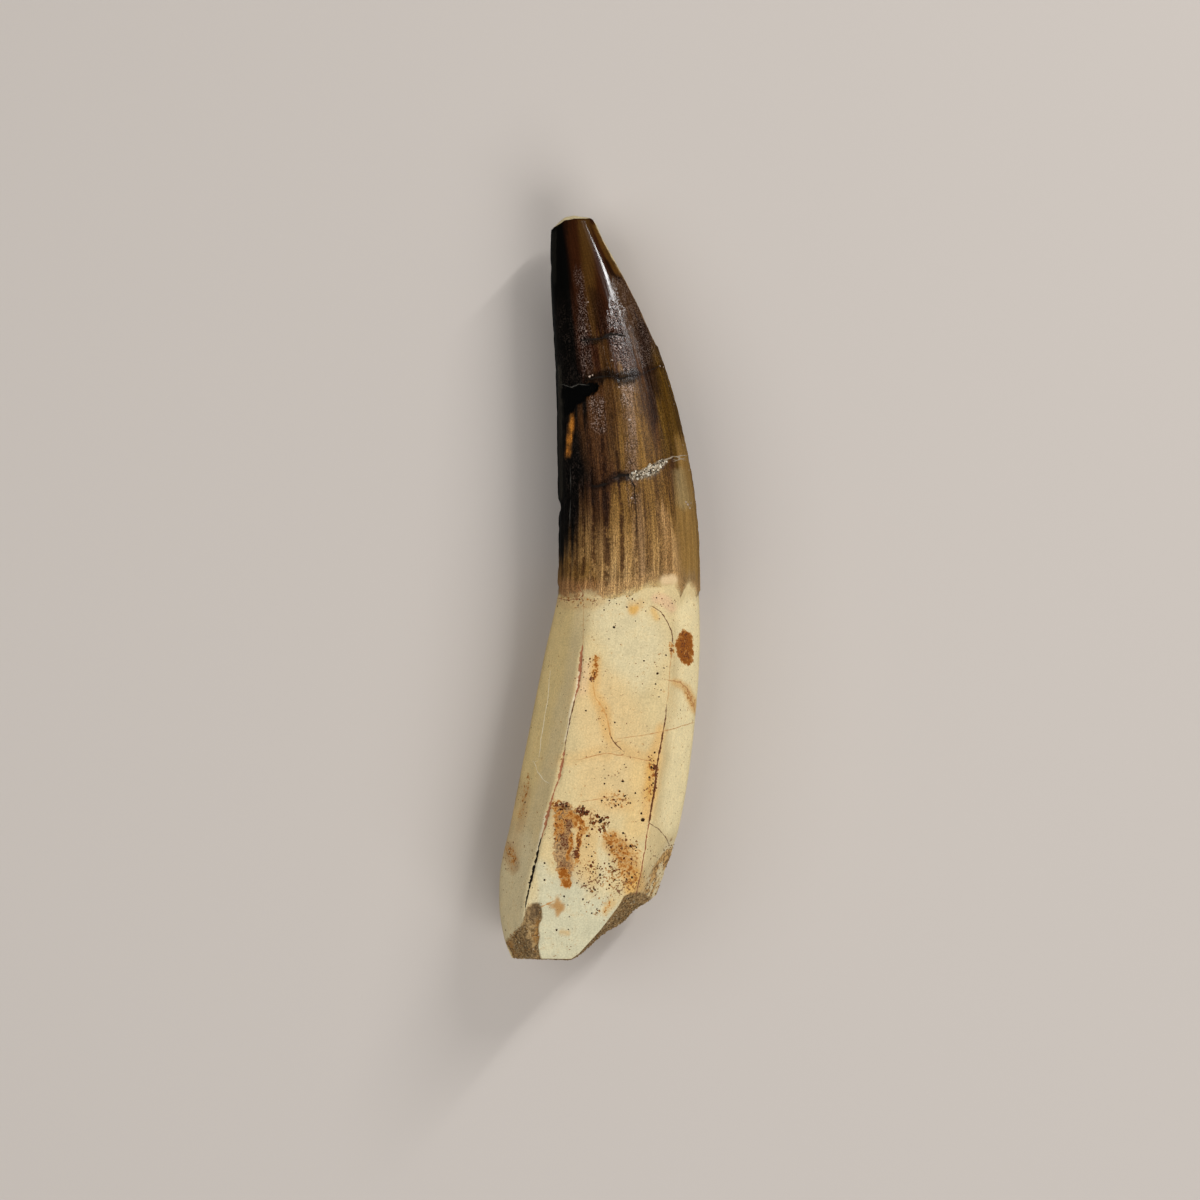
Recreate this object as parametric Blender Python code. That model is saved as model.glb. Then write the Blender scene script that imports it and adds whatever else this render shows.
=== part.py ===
"""A spinosaur's fossil tooth, lying on the flat back facet of its root.

Metres, +Z up. The tip points along +Y and the crown leans towards -X, so the
curve of the tooth lies level. The broken end of the root is at -Y. The origin
is at the middle of the tooth's outline, on the surface that it rests on.
"""

import math

import bmesh
import bpy
import numpy as np
from mathutils import Vector

MM = 0.001

# Driving sizes, in millimetres.
LENGTH = 109.8
THICKNESS = 20.0
MIDDLE_HEIGHT = 9.4
ROOT_STARTS = 52.0
ROOT_FACETED = 66.0
ENAMEL_ENDS = 55.6

# Down the tooth: distance from the tip, left edge, right edge, thickness as a share of the whole.
OUTLINE = (
    (-2.0, -7.0, -2.4, 0.22),
    (5.0, -7.3, 1.7, 0.38),
    (10.0, -7.25, 4.4, 0.49),
    (19.0, -6.8, 8.5, 0.65),
    (27.0, -6.45, 11.1, 0.75),
    (37.0, -6.35, 13.4, 0.84),
    (47.0, -6.15, 14.6, 0.90),
    (55.0, -6.45, 14.8, 0.93),
    (64.0, -8.3, 14.85, 0.97),
    (76.0, -10.7, 14.0, 1.01),
    (88.0, -13.1, 12.2, 1.03),
    (97.0, -14.9, 10.0, 1.02),
    (103.0, -14.75, 8.2, 1.0),
    (108.0, -13.5, 7.6, 0.97),
    (112.0, -11.2, 7.2, 0.94),
)

# Corners of the faceted root, as shares of its half width and half thickness, right round.
ROOT_CORNERS = (
    (1.0, 0.15),
    (0.62, 1.0),
    (-0.58, 1.0),
    (-1.0, 0.2),
    (-1.0, -0.25),
    (-0.62, -1.0),
    (0.58, -1.0),
    (1.0, -0.2),
)
CORNER_SHARPNESS = 16.0
CROWN_ROUNDNESS = 2.15

POINTS_AROUND = 72
ROWS_ALONG = 54
CUTTER_SIZE = 60.0

# Where the tooth is worn or broken off: a point (across, from the tip, height) and the way it faces.
WORN_AND_BROKEN = {
    "tip_end": ((-3.4, 0.05, 9.4), (0.02, 1.0, 0.05)),
    "tip_shoulder": ((-6.1, 1.1, 9.4), (-0.68, 0.73, 0.0)),
    "tip_corner": ((-1.0, 0.8, 9.4), (0.62, 0.78, 0.08)),
    "tip_wear_facet": ((4.4, 10.0, 9.2), (0.73, 0.38, -0.57)),
    "root_end": ((-8.0, 108.95, 9.4), (0.0, -1.0, 0.09)),
    "root_fracture": ((3.1, 104.0, 5.0), (0.595, -0.8, 0.08)),
    "root_corner": ((9.1, 96.8, 9.0), (0.88, -0.37, 0.3)),
    "rest_facet": ((0.0, 80.0, 0.0), (0.0, 0.0, -1.0)),
}


def clear_scene():
    for item in list(bpy.data.objects):
        bpy.data.objects.remove(item, do_unlink=True)


def new_collection(name):
    collection = bpy.data.collections.new(name)
    bpy.context.scene.collection.children.link(collection)
    return collection


def finish(name, colour, roughness):
    material = bpy.data.materials.new(name)
    material.use_nodes = True
    shader = material.node_tree.nodes["Principled BSDF"]
    shader.inputs["Base Color"].default_value = (*colour, 1.0)
    shader.inputs["Roughness"].default_value = roughness
    shader.inputs["Metallic"].default_value = 0.0
    return material


def along_outline(down, column):
    """Value of one column of the outline at a distance from the tip, on a smooth curve."""
    places = [row[0] for row in OUTLINE]
    values = [row[column] for row in OUTLINE]
    last = len(places) - 2
    i = min(max(int(np.searchsorted(places, down)) - 1, 0), last)
    slopes = np.gradient(values, places)
    step = places[i + 1] - places[i]
    t = (down - places[i]) / step
    return (
        values[i] * (2 * t**3 - 3 * t**2 + 1)
        + values[i + 1] * (3 * t**2 - 2 * t**3)
        + slopes[i] * step * (t**3 - 2 * t**2 + t)
        + slopes[i + 1] * step * (t**3 - t**2)
    )


def smooth_share(value, low, high):
    t = min(max((value - low) / (high - low), 0.0), 1.0)
    return t * t * (3 - 2 * t)


def oval_pull(angle, half_width, half_depth):
    """One over the radius of the crown's rounded oval."""
    n = CROWN_ROUNDNESS
    across = abs(math.cos(angle) / half_width) ** n
    up = abs(math.sin(angle) / half_depth) ** n
    return (across + up) ** (1 / n)


def facet_pull(angle, half_width, half_depth):
    """One over the radius of the root's polygon, with its corners softened."""
    total = 0.0
    corners = [Vector((u * half_width, v * half_depth)) for u, v in ROOT_CORNERS]
    for i, start in enumerate(corners):
        side = corners[(i + 1) % len(corners)] - start
        outward = Vector((side.y, -side.x)).normalized()
        reach = outward.dot(start)
        facing = outward.x * math.cos(angle) + outward.y * math.sin(angle)
        total += (max(facing, 0.0) / reach) ** CORNER_SHARPNESS
    return total ** (1 / CORNER_SHARPNESS)


def ring(down):
    """Points round the tooth at a distance from the tip."""
    left = along_outline(down, 1)
    right = along_outline(down, 2)
    half_width = (right - left) / 2
    half_depth = along_outline(down, 3) * THICKNESS / 2
    faceted = smooth_share(down, ROOT_STARTS, ROOT_FACETED)
    points = []
    for i in range(POINTS_AROUND):
        angle = 2 * math.pi * i / POINTS_AROUND
        pull = (1 - faceted) * oval_pull(angle, half_width, half_depth)
        pull += faceted * facet_pull(angle, half_width, half_depth)
        x = (left + right) / 2 + math.cos(angle) / pull
        z = MIDDLE_HEIGHT + math.sin(angle) / pull
        points.append(Vector((x, LENGTH / 2 - down, z)) * MM)
    return points


def loft_tooth(collection):
    """The whole tooth before it was worn and broken: rings from tip to root, closed at both ends."""
    first, last = OUTLINE[0][0], OUTLINE[-1][0]
    mesh = bpy.data.meshes.new("tooth")
    shape = bmesh.new()
    rings = []
    for row in range(ROWS_ALONG + 1):
        down = first + (last - first) * row / ROWS_ALONG
        rings.append([shape.verts.new(point) for point in ring(down)])
    for row, (above, below) in enumerate(zip(rings, rings[1:])):
        down = first + (last - first) * (row + 0.5) / ROWS_ALONG
        for i in range(POINTS_AROUND):
            j = (i + 1) % POINTS_AROUND
            face = shape.faces.new((above[i], below[i], below[j], above[j]))
            face.material_index = int(down > ENAMEL_ENDS)
    shape.faces.new(rings[0])
    shape.faces.new(reversed(rings[-1])).material_index = 1
    bmesh.ops.recalc_face_normals(shape, faces=shape.faces)
    shape.to_mesh(mesh)
    shape.free()
    mesh.shade_smooth()
    mesh.set_sharp_from_angle(angle=math.radians(35))
    tooth = bpy.data.objects.new("tooth", mesh)
    collection.objects.link(tooth)
    return tooth


def flat_cutter(name, point, facing, collection):
    """A block whose inner face is the plane where the tooth ends."""
    bpy.ops.mesh.primitive_cube_add(size=CUTTER_SIZE * MM)
    cutter = bpy.context.active_object
    cutter.name = f"{name}_cutter"
    for holder in list(cutter.users_collection):
        holder.objects.unlink(cutter)
    collection.objects.link(cutter)
    outward = Vector(facing).normalized()
    across, down, height = point
    place = Vector((across, LENGTH / 2 - down, height))
    cutter.rotation_euler = outward.to_track_quat("Z", "Y").to_euler()
    cutter.location = (place + outward * CUTTER_SIZE / 2) * MM
    cutter.hide_render = True
    cutter.display_type = "WIRE"
    return cutter


def cut_away(tooth, name, cutter):
    cut = tooth.modifiers.new(name, "BOOLEAN")
    cut.operation = "DIFFERENCE"
    cut.solver = "EXACT"
    cut.object = cutter


def build_tooth():
    parts = new_collection("fossil_spinosaur_tooth")
    cutters = new_collection("cutters")
    tooth = loft_tooth(parts)
    tooth.data.materials.append(finish("crown_enamel", (0.09, 0.05, 0.02), 0.3))
    tooth.data.materials.append(finish("root_dentine", (0.70, 0.63, 0.42), 0.55))
    for name, (point, facing) in WORN_AND_BROKEN.items():
        cut_away(tooth, name, flat_cutter(name, point, facing, cutters))


clear_scene()
build_tooth()
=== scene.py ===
"""A spinosaur's fossil tooth, lying on the flat back facet of its root.

Sizes are in millimetres. A place on the tooth is given by its angle round the tooth and
by `down`, its distance from the tip. A mark that shows on the front has its place in the
photograph, in pixels of a 1200 x 1200 picture, and is carried onto the tooth through the
camera. Meshes are made in metres.
"""

import itertools
import math

import bpy
import numpy as np
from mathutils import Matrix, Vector
from mathutils.bvhtree import BVHTree


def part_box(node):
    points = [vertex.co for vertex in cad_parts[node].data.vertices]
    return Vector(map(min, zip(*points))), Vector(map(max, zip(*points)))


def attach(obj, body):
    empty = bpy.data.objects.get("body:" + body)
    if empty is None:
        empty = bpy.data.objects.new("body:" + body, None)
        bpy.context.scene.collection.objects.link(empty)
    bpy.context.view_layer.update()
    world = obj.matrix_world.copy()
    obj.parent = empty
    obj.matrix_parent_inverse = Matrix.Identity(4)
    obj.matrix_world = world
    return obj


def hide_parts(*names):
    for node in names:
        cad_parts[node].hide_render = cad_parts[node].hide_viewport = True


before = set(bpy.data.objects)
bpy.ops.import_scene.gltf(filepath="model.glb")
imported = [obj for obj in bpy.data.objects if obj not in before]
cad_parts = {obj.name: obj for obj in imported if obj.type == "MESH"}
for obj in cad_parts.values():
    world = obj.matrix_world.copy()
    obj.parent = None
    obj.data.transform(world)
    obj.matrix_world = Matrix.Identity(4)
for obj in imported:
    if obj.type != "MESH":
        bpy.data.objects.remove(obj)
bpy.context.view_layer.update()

# Camera
# It looks straight down on the tooth, as the photographer looked level at the standing one,
# from half a metre away. Up in the picture is towards the tip.
CAMERA_PLACE = (0.0, -1.43, 499.0)
LENS = 100.0
SENSOR = 36.0
PICTURE_SIDE = 1200
PICTURE_MIDDLE = PICTURE_SIDE / 2
MM = 0.001
LENGTH = 109.8

camera = bpy.data.objects.new("camera", bpy.data.cameras.new("camera"))
camera.data.lens = LENS
camera.data.sensor_width = SENSOR
camera.data.clip_start = 0.01
camera.data.clip_end = 20.0
camera.location = Vector(CAMERA_PLACE) * MM
bpy.context.scene.collection.objects.link(camera)
bpy.context.scene.camera = camera
bpy.context.scene.view_settings.view_transform = "Standard"


def picture_place(across, down, height):
    """Where the camera sees a point, in pixels of the photograph."""
    enlarged = PICTURE_SIDE * LENS / SENSOR / (CAMERA_PLACE[2] - height)
    from_middle = LENGTH / 2 - down - CAMERA_PLACE[1]
    return PICTURE_MIDDLE + across * enlarged, PICTURE_MIDDLE - from_middle * enlarged


def place_at_height(x, y, height):
    """Across and down, in millimetres, of a picture point at a given height."""
    shrunk = (CAMERA_PLACE[2] - height) * SENSOR / LENS / PICTURE_SIDE
    across = (x - PICTURE_MIDDLE) * shrunk
    return across, LENGTH / 2 - CAMERA_PLACE[1] + (y - PICTURE_MIDDLE) * shrunk


# Tooth
# One tooth that grew whole: a crown of dark glossy enamel over a long pale dentine root,
# turned to stone. Its tip is worn, its root is broken off and sandstone clings in the break.

# Shape before wear: down, left edge, right edge, thickness as a share of the whole.
THICKNESS = 20.0
MIDDLE_HEIGHT = 9.4
ROOT_STARTS = 52.0
ROOT_FACETED = 66.0
OUTLINE = (
    (-2, -7, -2.4, 0.22), (5, -7.3, 1.7, 0.38), (10, -7.25, 4.4, 0.49), (19, -6.8, 8.5, 0.65),
    (27, -6.45, 11.1, 0.75), (37, -6.35, 13.4, 0.84), (47, -6.15, 14.6, 0.9),
    (55, -6.45, 14.8, 0.93), (64, -8.3, 14.85, 0.97), (76, -10.7, 14, 1.01),
    (88, -13.1, 12.2, 1.03), (97, -14.9, 10, 1.02), (103, -14.75, 8.2, 1),
    (108, -13.5, 7.6, 0.97), (112, -11.2, 7.2, 0.94),
)
ROOT_CORNERS = (
    (1, 0.15), (0.62, 1), (-0.58, 1), (-1, 0.2), (-1, -0.25), (-0.62, -1), (0.58, -1),
    (1, -0.2),
)
# The front facet's two edges drift: down, left corner, right corner.
FRONT_FACET = (
    (62, -0.515, 0.61), (77, -0.53, 0.605), (85, -0.585, 0.6), (92, -0.585, 0.63),
    (101, -0.67, 0.675), (110, -0.7, 0.68),
)
CORNER_SHARPNESS = 34.0
CROWN_ROUNDNESS = 2.15


def along_outline(down, column):
    """Value of one column of the outline at a distance from the tip, on a smooth curve."""
    places = np.array([row[0] for row in OUTLINE])
    values = np.array([row[column] for row in OUTLINE])
    slopes = np.gradient(values, places)
    i = np.clip(np.searchsorted(places, down) - 1, 0, len(places) - 2)
    step = places[i + 1] - places[i]
    t = (down - places[i]) / step
    return (
        values[i] * (2 * t**3 - 3 * t**2 + 1)
        + values[i + 1] * (3 * t**2 - 2 * t**3)
        + slopes[i] * step * (t**3 - 2 * t**2 + t)
        + slopes[i + 1] * step * (t**3 - t**2)
    )


def smooth_share(value, low, high):
    """0 at low, 1 at high, with a smooth rise between them."""
    t = np.clip((value - low) / (high - low), 0.0, 1.0)
    return t * t * (3 - 2 * t)


def section(angle, down):
    """Middle, and radius at an angle, of the unworn tooth: a rounded oval above, facets below."""
    left = along_outline(down, 1)
    right = along_outline(down, 2)
    half_width = (right - left) / 2
    half_depth = along_outline(down, 3) * THICKNESS / 2
    n = CROWN_ROUNDNESS
    across = np.abs(np.cos(angle) / half_width) ** n
    up = np.abs(np.sin(angle) / half_depth) ** n
    oval_pull = (across + up) ** (1 / n)
    places, left_corner, right_corner = zip(*FRONT_FACET)
    corners = list(ROOT_CORNERS)
    corners[1] = (np.interp(down, places, right_corner), 1.0)
    corners[2] = (np.interp(down, places, left_corner), 1.0)
    facet_total = 0.0
    for i, (u, v) in enumerate(corners):
        next_u, next_v = corners[(i + 1) % len(corners)]
        out_x = (next_v - v) * half_depth
        out_z = (u - next_u) * half_width
        reach = out_x * u * half_width + out_z * v * half_depth
        facing = out_x * np.cos(angle) + out_z * np.sin(angle)
        facet_total = facet_total + (np.maximum(facing, 0.0) / reach) ** CORNER_SHARPNESS
    faceted = smooth_share(down, ROOT_STARTS, ROOT_FACETED)
    pull = (1 - faceted) * oval_pull + faceted * facet_total ** (1 / CORNER_SHARPNESS)
    return (left + right) / 2, 1 / pull


# Flat faces along the tooth: a point (across, down, height) and the way the face looks.
FLAT_FACES = {
    "rest": ((0.0, 80.0, 0.0), (0.0, 0.0, -1.0)),
    "tip_wear": ((4.4, 10.0, 9.2), (0.73, 0.38, -0.57)),
    "root_corner": ((9.1, 96.8, 9.0), (0.88, -0.37, 0.3)),
}
EDGE_ROUNDING = 0.08


def flat_face_reach(name, angle, down, middle):
    """How far from the tooth's middle line a flat face is, at an angle."""
    (across, place_down, height), facing = FLAT_FACES[name]
    length = math.sqrt(sum(f * f for f in facing))
    fx, fy, fz = (f / length for f in facing)
    away = (across - middle) * fx + (down - place_down) * fy + (height - MIDDLE_HEIGHT) * fz
    turned = np.cos(angle) * fx + np.sin(angle) * fz
    return np.where(turned > 0.02, away / np.maximum(turned, 0.02), 1e3)


def worn_section(angle, down):
    """Middle and radius of the tooth with its flat faces, and how deep each face cuts."""
    middle, radius = section(angle, down)
    cut = {}
    for name in FLAT_FACES:
        reach = flat_face_reach(name, angle, down, middle)
        cut[name] = radius - reach
        near = np.exp(-np.minimum(np.abs(cut[name]) / EDGE_ROUNDING, 40.0))
        radius = np.minimum(radius, reach) - EDGE_ROUNDING * np.log1p(near)
    return middle, radius, cut


# Smooth noise for the surface, the same every time.
LATTICE = 32


def lumps(x, y, z, seed):
    """Smooth random lumps one unit wide, from -1 to 1."""
    values = np.random.default_rng(seed).uniform(-1, 1, (LATTICE, LATTICE, LATTICE))
    places = [np.asarray(p, float) for p in np.broadcast_arrays(x, y, z)]
    cells = [np.floor(p).astype(int) for p in places]
    shares = [smooth_share(p - c, 0.0, 1.0) for p, c in zip(places, cells)]
    total = 0.0
    for corner in itertools.product((0, 1), repeat=3):
        weight = 1.0
        for side, share in zip(corner, shares):
            weight = weight * (share if side else 1 - share)
        i, j, k = ((c + side) % LATTICE for c, side in zip(cells, corner))
        total = total + weight * values[i, j, k]
    return total


def rough(x, y, z, seed, octaves=3):
    """Lumps with finer lumps on them."""
    total = 0.0
    for octave in range(octaves):
        finer = 2.0**octave
        total = total + lumps(x * finer, y * finer, z * finer, seed + octave) / finer
    return total / 1.6


# Worn tip, in the photograph: its outline, and how much further down the enamel starts in front.
TIP_OUTLINE = (
    (548, 236), (551.4, 230.4), (558.1, 223.7), (564.8, 217.7), (574.2, 215.7), (583.6, 217),
    (590.3, 218.4), (594.3, 221), (597, 225), (604, 239),
)
TIP_DOME = 0.105

# Broken root end, in the photograph: the edge of its front wall, and its lowest outline.
FRONT_WALL_EDGE = (
    (500, 957.6), (566, 958.4), (571.6, 958.2), (579, 953), (601, 929), (617.6, 907), (626, 894),
    (637, 893.5), (645.6, 896), (652, 901), (670, 896),
)
LOWEST_OUTLINE = (
    (500, 957.4), (537.8, 957.8), (568.6, 958.8), (576, 956.6), (581.8, 952.2), (590.6, 945),
    (598, 937.6), (606.8, 931), (617, 925.8), (625.8, 918.5), (633, 910.4), (639, 906.8),
    (645.6, 903.8), (650.8, 901), (670, 894),
)
FRONT_HEIGHT = 18.4
BACK_OF_BREAK = 2.6
BREAK_ROUGHNESS = 0.32


def line_down(points, height, across):
    """Down of a picture line that lies at one height, read at a place across the tooth."""
    xs, downs = zip(*(place_at_height(x, y, height) for x, y in points))
    return np.interp(across, xs, downs)


def tip_end(across, height):
    """Down of the worn tip's surface."""
    dome = TIP_DOME * (height - MIDDLE_HEIGHT) ** 2
    uneven = 0.08 * lumps(across / 1.4, height / 1.4, 0.0, 3)
    return line_down(TIP_OUTLINE, MIDDLE_HEIGHT, across) + dome + uneven


def broken_end(across, height):
    """Down of the broken root end's surface."""
    front = line_down(FRONT_WALL_EDGE, FRONT_HEIGHT, across)
    lowest = line_down(LOWEST_OUTLINE, MIDDLE_HEIGHT, across)
    inward = np.clip((FRONT_HEIGHT - height) / (FRONT_HEIGHT - MIDDLE_HEIGHT), 0.0, 1.0)
    behind = np.clip((MIDDLE_HEIGHT - height) / MIDDLE_HEIGHT, 0.0, 1.0)
    down = front + (lowest - front) * inward**0.85 - BACK_OF_BREAK * behind**1.4
    slanting = smooth_share(lowest - front, 0.8, 2.5)
    grit = rough(across / 2.2, height / 2.2, 0.5, 11)
    inside = smooth_share(inward, 0.02, 0.25)
    return down + BREAK_ROUGHNESS * grit * inside * (0.25 + 0.75 * slanting)


# Rows and columns of the surface: closer together in front and where the detail is.
COLUMNS = 296
ROWS = 282
TIP_RINGS = 9
BREAK_RINGS = 32
FRONT_CROWDING = 0.75
CROWDED_PLACES = ((24.5, 3.0, 0.7), (37.5, 2.5, 0.7), (55.0, 1.8, 0.6), (0.0, 1.5, 1.0))
TIP_STRETCH = 8.0
BREAK_STRETCH = 88.0


def crowded_steps(low, high, count, density):
    """Places from low to high, close together where density is high."""
    fine = np.linspace(low, high, 4000)
    passed = np.concatenate(([0.0], np.cumsum(density(fine)[1:])))
    return np.interp(np.linspace(0.0, passed[-1], count), passed, fine)


def column_density(angle):
    return 1 + FRONT_CROWDING * smooth_share(np.sin(angle), -0.3, 0.4)


def row_density(down):
    total = np.ones_like(down)
    for place, spread, extra in CROWDED_PLACES:
        total += extra * np.exp(-(((down - place) / spread) ** 2))
    return total


SEAM = -math.pi / 2
angles = crowded_steps(SEAM, SEAM + 2 * math.pi, COLUMNS + 1, column_density)[:-1]
even_downs = crowded_steps(0.0, LENGTH, ROWS, row_density)


def meet_end(end_surface, low, high):
    """Down where each column runs into an end surface, by halving."""
    low = np.full(COLUMNS, low)
    high = np.full(COLUMNS, high)
    for _ in range(30):
        down = (low + high) / 2
        middle, radius, _ = worn_section(angles, down)
        past = down > end_surface(middle + radius * np.cos(angles), MIDDLE_HEIGHT + radius * np.sin(angles))
        low = np.where(past, low, down)
        high = np.where(past, down, high)
    return (low + high) / 2


tip_downs = meet_end(tip_end, -1.9, TIP_STRETCH)
break_downs = meet_end(broken_end, BREAK_STRETCH, 111.8)
angle = np.broadcast_to(angles, (ROWS, COLUMNS))
down = np.broadcast_to(even_downs[:, None], (ROWS, COLUMNS))
near_tip = np.clip(1 - down / TIP_STRETCH, 0.0, 1.0)
near_break = np.clip((down - BREAK_STRETCH) / (LENGTH - BREAK_STRETCH), 0.0, 1.0)
down = np.where(near_tip > 0, TIP_STRETCH + (tip_downs - TIP_STRETCH) * near_tip, down)
down = np.where(near_break > 0, BREAK_STRETCH + (break_downs - BREAK_STRETCH) * near_break, down)
middle, radius, cut = worn_section(angle, down)
seen_x, seen_y = picture_place(
    middle + radius * np.cos(angle), down, MIDDLE_HEIGHT + np.abs(radius * np.sin(angle))
)
in_front = smooth_share(np.sin(angle), -0.05, 0.12)
behind = 1 - in_front
GIRTH = 9.5
girth = GIRTH * np.stack((np.cos(angle), np.sin(angle)), -1)


def over_tooth(wide, long):
    """Where each point is round and along the tooth, in steps this wide and long."""
    return girth[..., 0] / wide, girth[..., 1] / wide, down / long


# Edge of the enamel, in the photograph, from left to right.
ENAMEL_EDGE = (
    (548, 592), (556, 594), (561, 597.5), (577, 599), (580.5, 593.5), (585, 594), (598, 595.5),
    (603, 598.5), (612.5, 599.5), (622, 596), (629, 597), (636, 592.5), (648, 587.5), (663, 586),
    (675, 585), (678.5, 590), (682, 598), (685.5, 589.5), (690.6, 583.5), (695, 589), (698, 597.5),
    (704, 592),
)
PIXEL = 0.1467
front_edge = np.interp(seen_x, *zip(*ENAMEL_EDGE))
back_wave = 4.5 * np.cos(angle * 3 + 1.0) + 7 * lumps(girth[..., 0] / 2.1, girth[..., 1] / 2.1, 0.0, 21)
back_edge = 594.0 + back_wave * smooth_share(-np.sin(angle), 0.0, 0.4)
EDGE_RAGGEDNESS = 1.6
ragged = EDGE_RAGGEDNESS * rough(*over_tooth(0.7, 1.2), 23)
enamel_side = (front_edge * in_front + back_edge * behind + ragged - seen_y) * PIXEL
WORN_THROUGH = 0.20
worn = cut["tip_wear"] + WORN_THROUGH
enamel_side = np.where(worn > -0.2, np.minimum(enamel_side, -2.0 * worn), enamel_side)


def from_segment(x, y, x0, y0, dx, dy):
    """How far along a segment its nearest point is, as a share, and how far away, in x and y."""
    t = np.clip(((x - x0) * dx + (y - y0) * dy) / (dx * dx + dy * dy), 0.0, 1.0)
    return t, x - x0 - t * dx, y - y0 - t * dy


# Lines on the tooth: picture points, each with the line's half width there, in pixels.
def line_distance(points, x, y):
    """Signed distance to a line of picture points, and its half width where it is nearest."""
    best = np.full(np.shape(x), 1e6)
    signed = np.full(np.shape(x), 1e6)
    width = np.zeros(np.shape(x))
    for (x0, y0, w0), (x1, y1, w1) in zip(points, points[1:]):
        dx, dy = x1 - x0, y1 - y0
        t, away_x, away_y = from_segment(x, y, x0, y0, dx, dy)
        away = np.hypot(away_x, away_y)
        nearer = away < best
        side = np.where(dx * away_y - dy * away_x < 0, -1.0, 1.0)
        signed = np.where(nearer, side * away, signed)
        width = np.where(nearer, w0 + t * (w1 - w0), width)
        best = np.minimum(best, away)
    return signed, width


# The right edge below the tip is rubbed through to the dentine in a thin line.
RUBBED_EDGE = (
    (598, 225, 0.8), (605.5, 237.5, 2.6), (613.8, 252.5, 3), (621, 265, 2.7), (628.5, 281, 1.9),
    (638.5, 300, 1.6), (648, 322, 1.2), (657.5, 343, 0.6),
)
rubbed_away, rubbed_half = line_distance(RUBBED_EDGE, seen_x, seen_y)
rubbed = rubbed_half + 0.5 * rough(*over_tooth(1, 0.8), 27) - np.abs(rubbed_away)
rubbed = np.where(np.sin(angle) > -0.6, rubbed, -9.0)
enamel_side = np.where(rubbed > -3, np.minimum(enamel_side, -3 * rubbed * PIXEL), enamel_side)

GAP = (0.01, 0.007, 0.005)
ORANGE = (0.56, 0.3, 0.095)
SCRATCH = (0.86, 0.78, 0.56)
RED_BROWN = (0.26, 0.085, 0.035)
OLD_ROSE = (0.38, 0.15, 0.07)
RUST = (0.11, 0.036, 0.013)
PALE_RUST = (0.46, 0.235, 0.085)
PALE_CRACK = (0.3, 0.24, 0.17)
GREY_LINE = (0.075, 0.07, 0.06)
# Tint, side (1 front, -1 back), points with half widths.
LONG_CRACKS = (
    (PALE_RUST, 1, ((583, 602, 0.1), (582.5, 640, 0.15), (582, 646, 0.4))),
    (OLD_ROSE, 1, ((582, 644, 0.5), (580.3, 658, 1.2), (579, 668, 1.7), (577.6, 684, 1), (574, 701, 0.6))),
    (RUST, 1, ((574, 701, 0.6), (570, 717, 0.4), (566, 737, 0.3), (564, 752, 0.3))),
    (OLD_ROSE, 1, ((564, 750, 0.5), (561, 763, 1.6), (558, 778, 1), (554, 790, 0.6), (549, 804, 0.8))),
    (OLD_ROSE, 1, ((549, 804, 0.8), (546, 815, 1.5), (543.5, 827, 0.8), (541, 837, 0.5))),
    (GAP, 1, ((540, 838, 0.4), (535.5, 855, 0.9), (531.5, 872, 1.1), (528, 887, 0.8), (524.6, 908, 0.4))),
    (RUST, 1, ((654, 607, 0.4), (662, 612, 0.5), (668, 622, 0.3), (673, 632, 0.4), (674, 642, 0.5))),
    (PALE_RUST, 1, ((673, 652, 0.5), (671, 668, 0.3), (670, 682, 0.1), (668, 700, 0.2))),
    (RUST, 1, ((667.5, 705, 0.4), (665.5, 722, 0.5), (663, 738, 0.7), (660, 755, 0.8), (657.5, 771, 1))),
    (RUST, 1, ((657.5, 771, 1.1), (656, 786, 0.9), (653, 803, 0.9), (649.5, 822, 0.7))),
    (RED_BROWN, 1, ((649.5, 822, 0.4), (647, 838, 0.5), (644, 858, 0.4), (640, 880, 0.5), (637, 894, 0.4))),
    (GAP, -1, ((600, 640, 0.3), (598, 700, 0.7), (594, 760, 0.9), (589, 820, 0.6), (586, 850, 0.3))),
    (RUST, -1, ((660, 690, 0.3), (656, 740, 0.8), (650, 800, 0.9), (640, 880, 0.6))),
    (GREY_LINE, 1, ((570, 468, 0), (570.2, 480, 0.2), (570, 492, 0))),
    (GREY_LINE, 1, ((569.6, 500, 0), (569.4, 512, 0.2), (568.8, 526, 0))),
    (GAP, 1, ((627.6, 476, 0.5), (634, 485, 0.6), (636, 505, 0.3), (637, 540, 0.2))),
)
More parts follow.
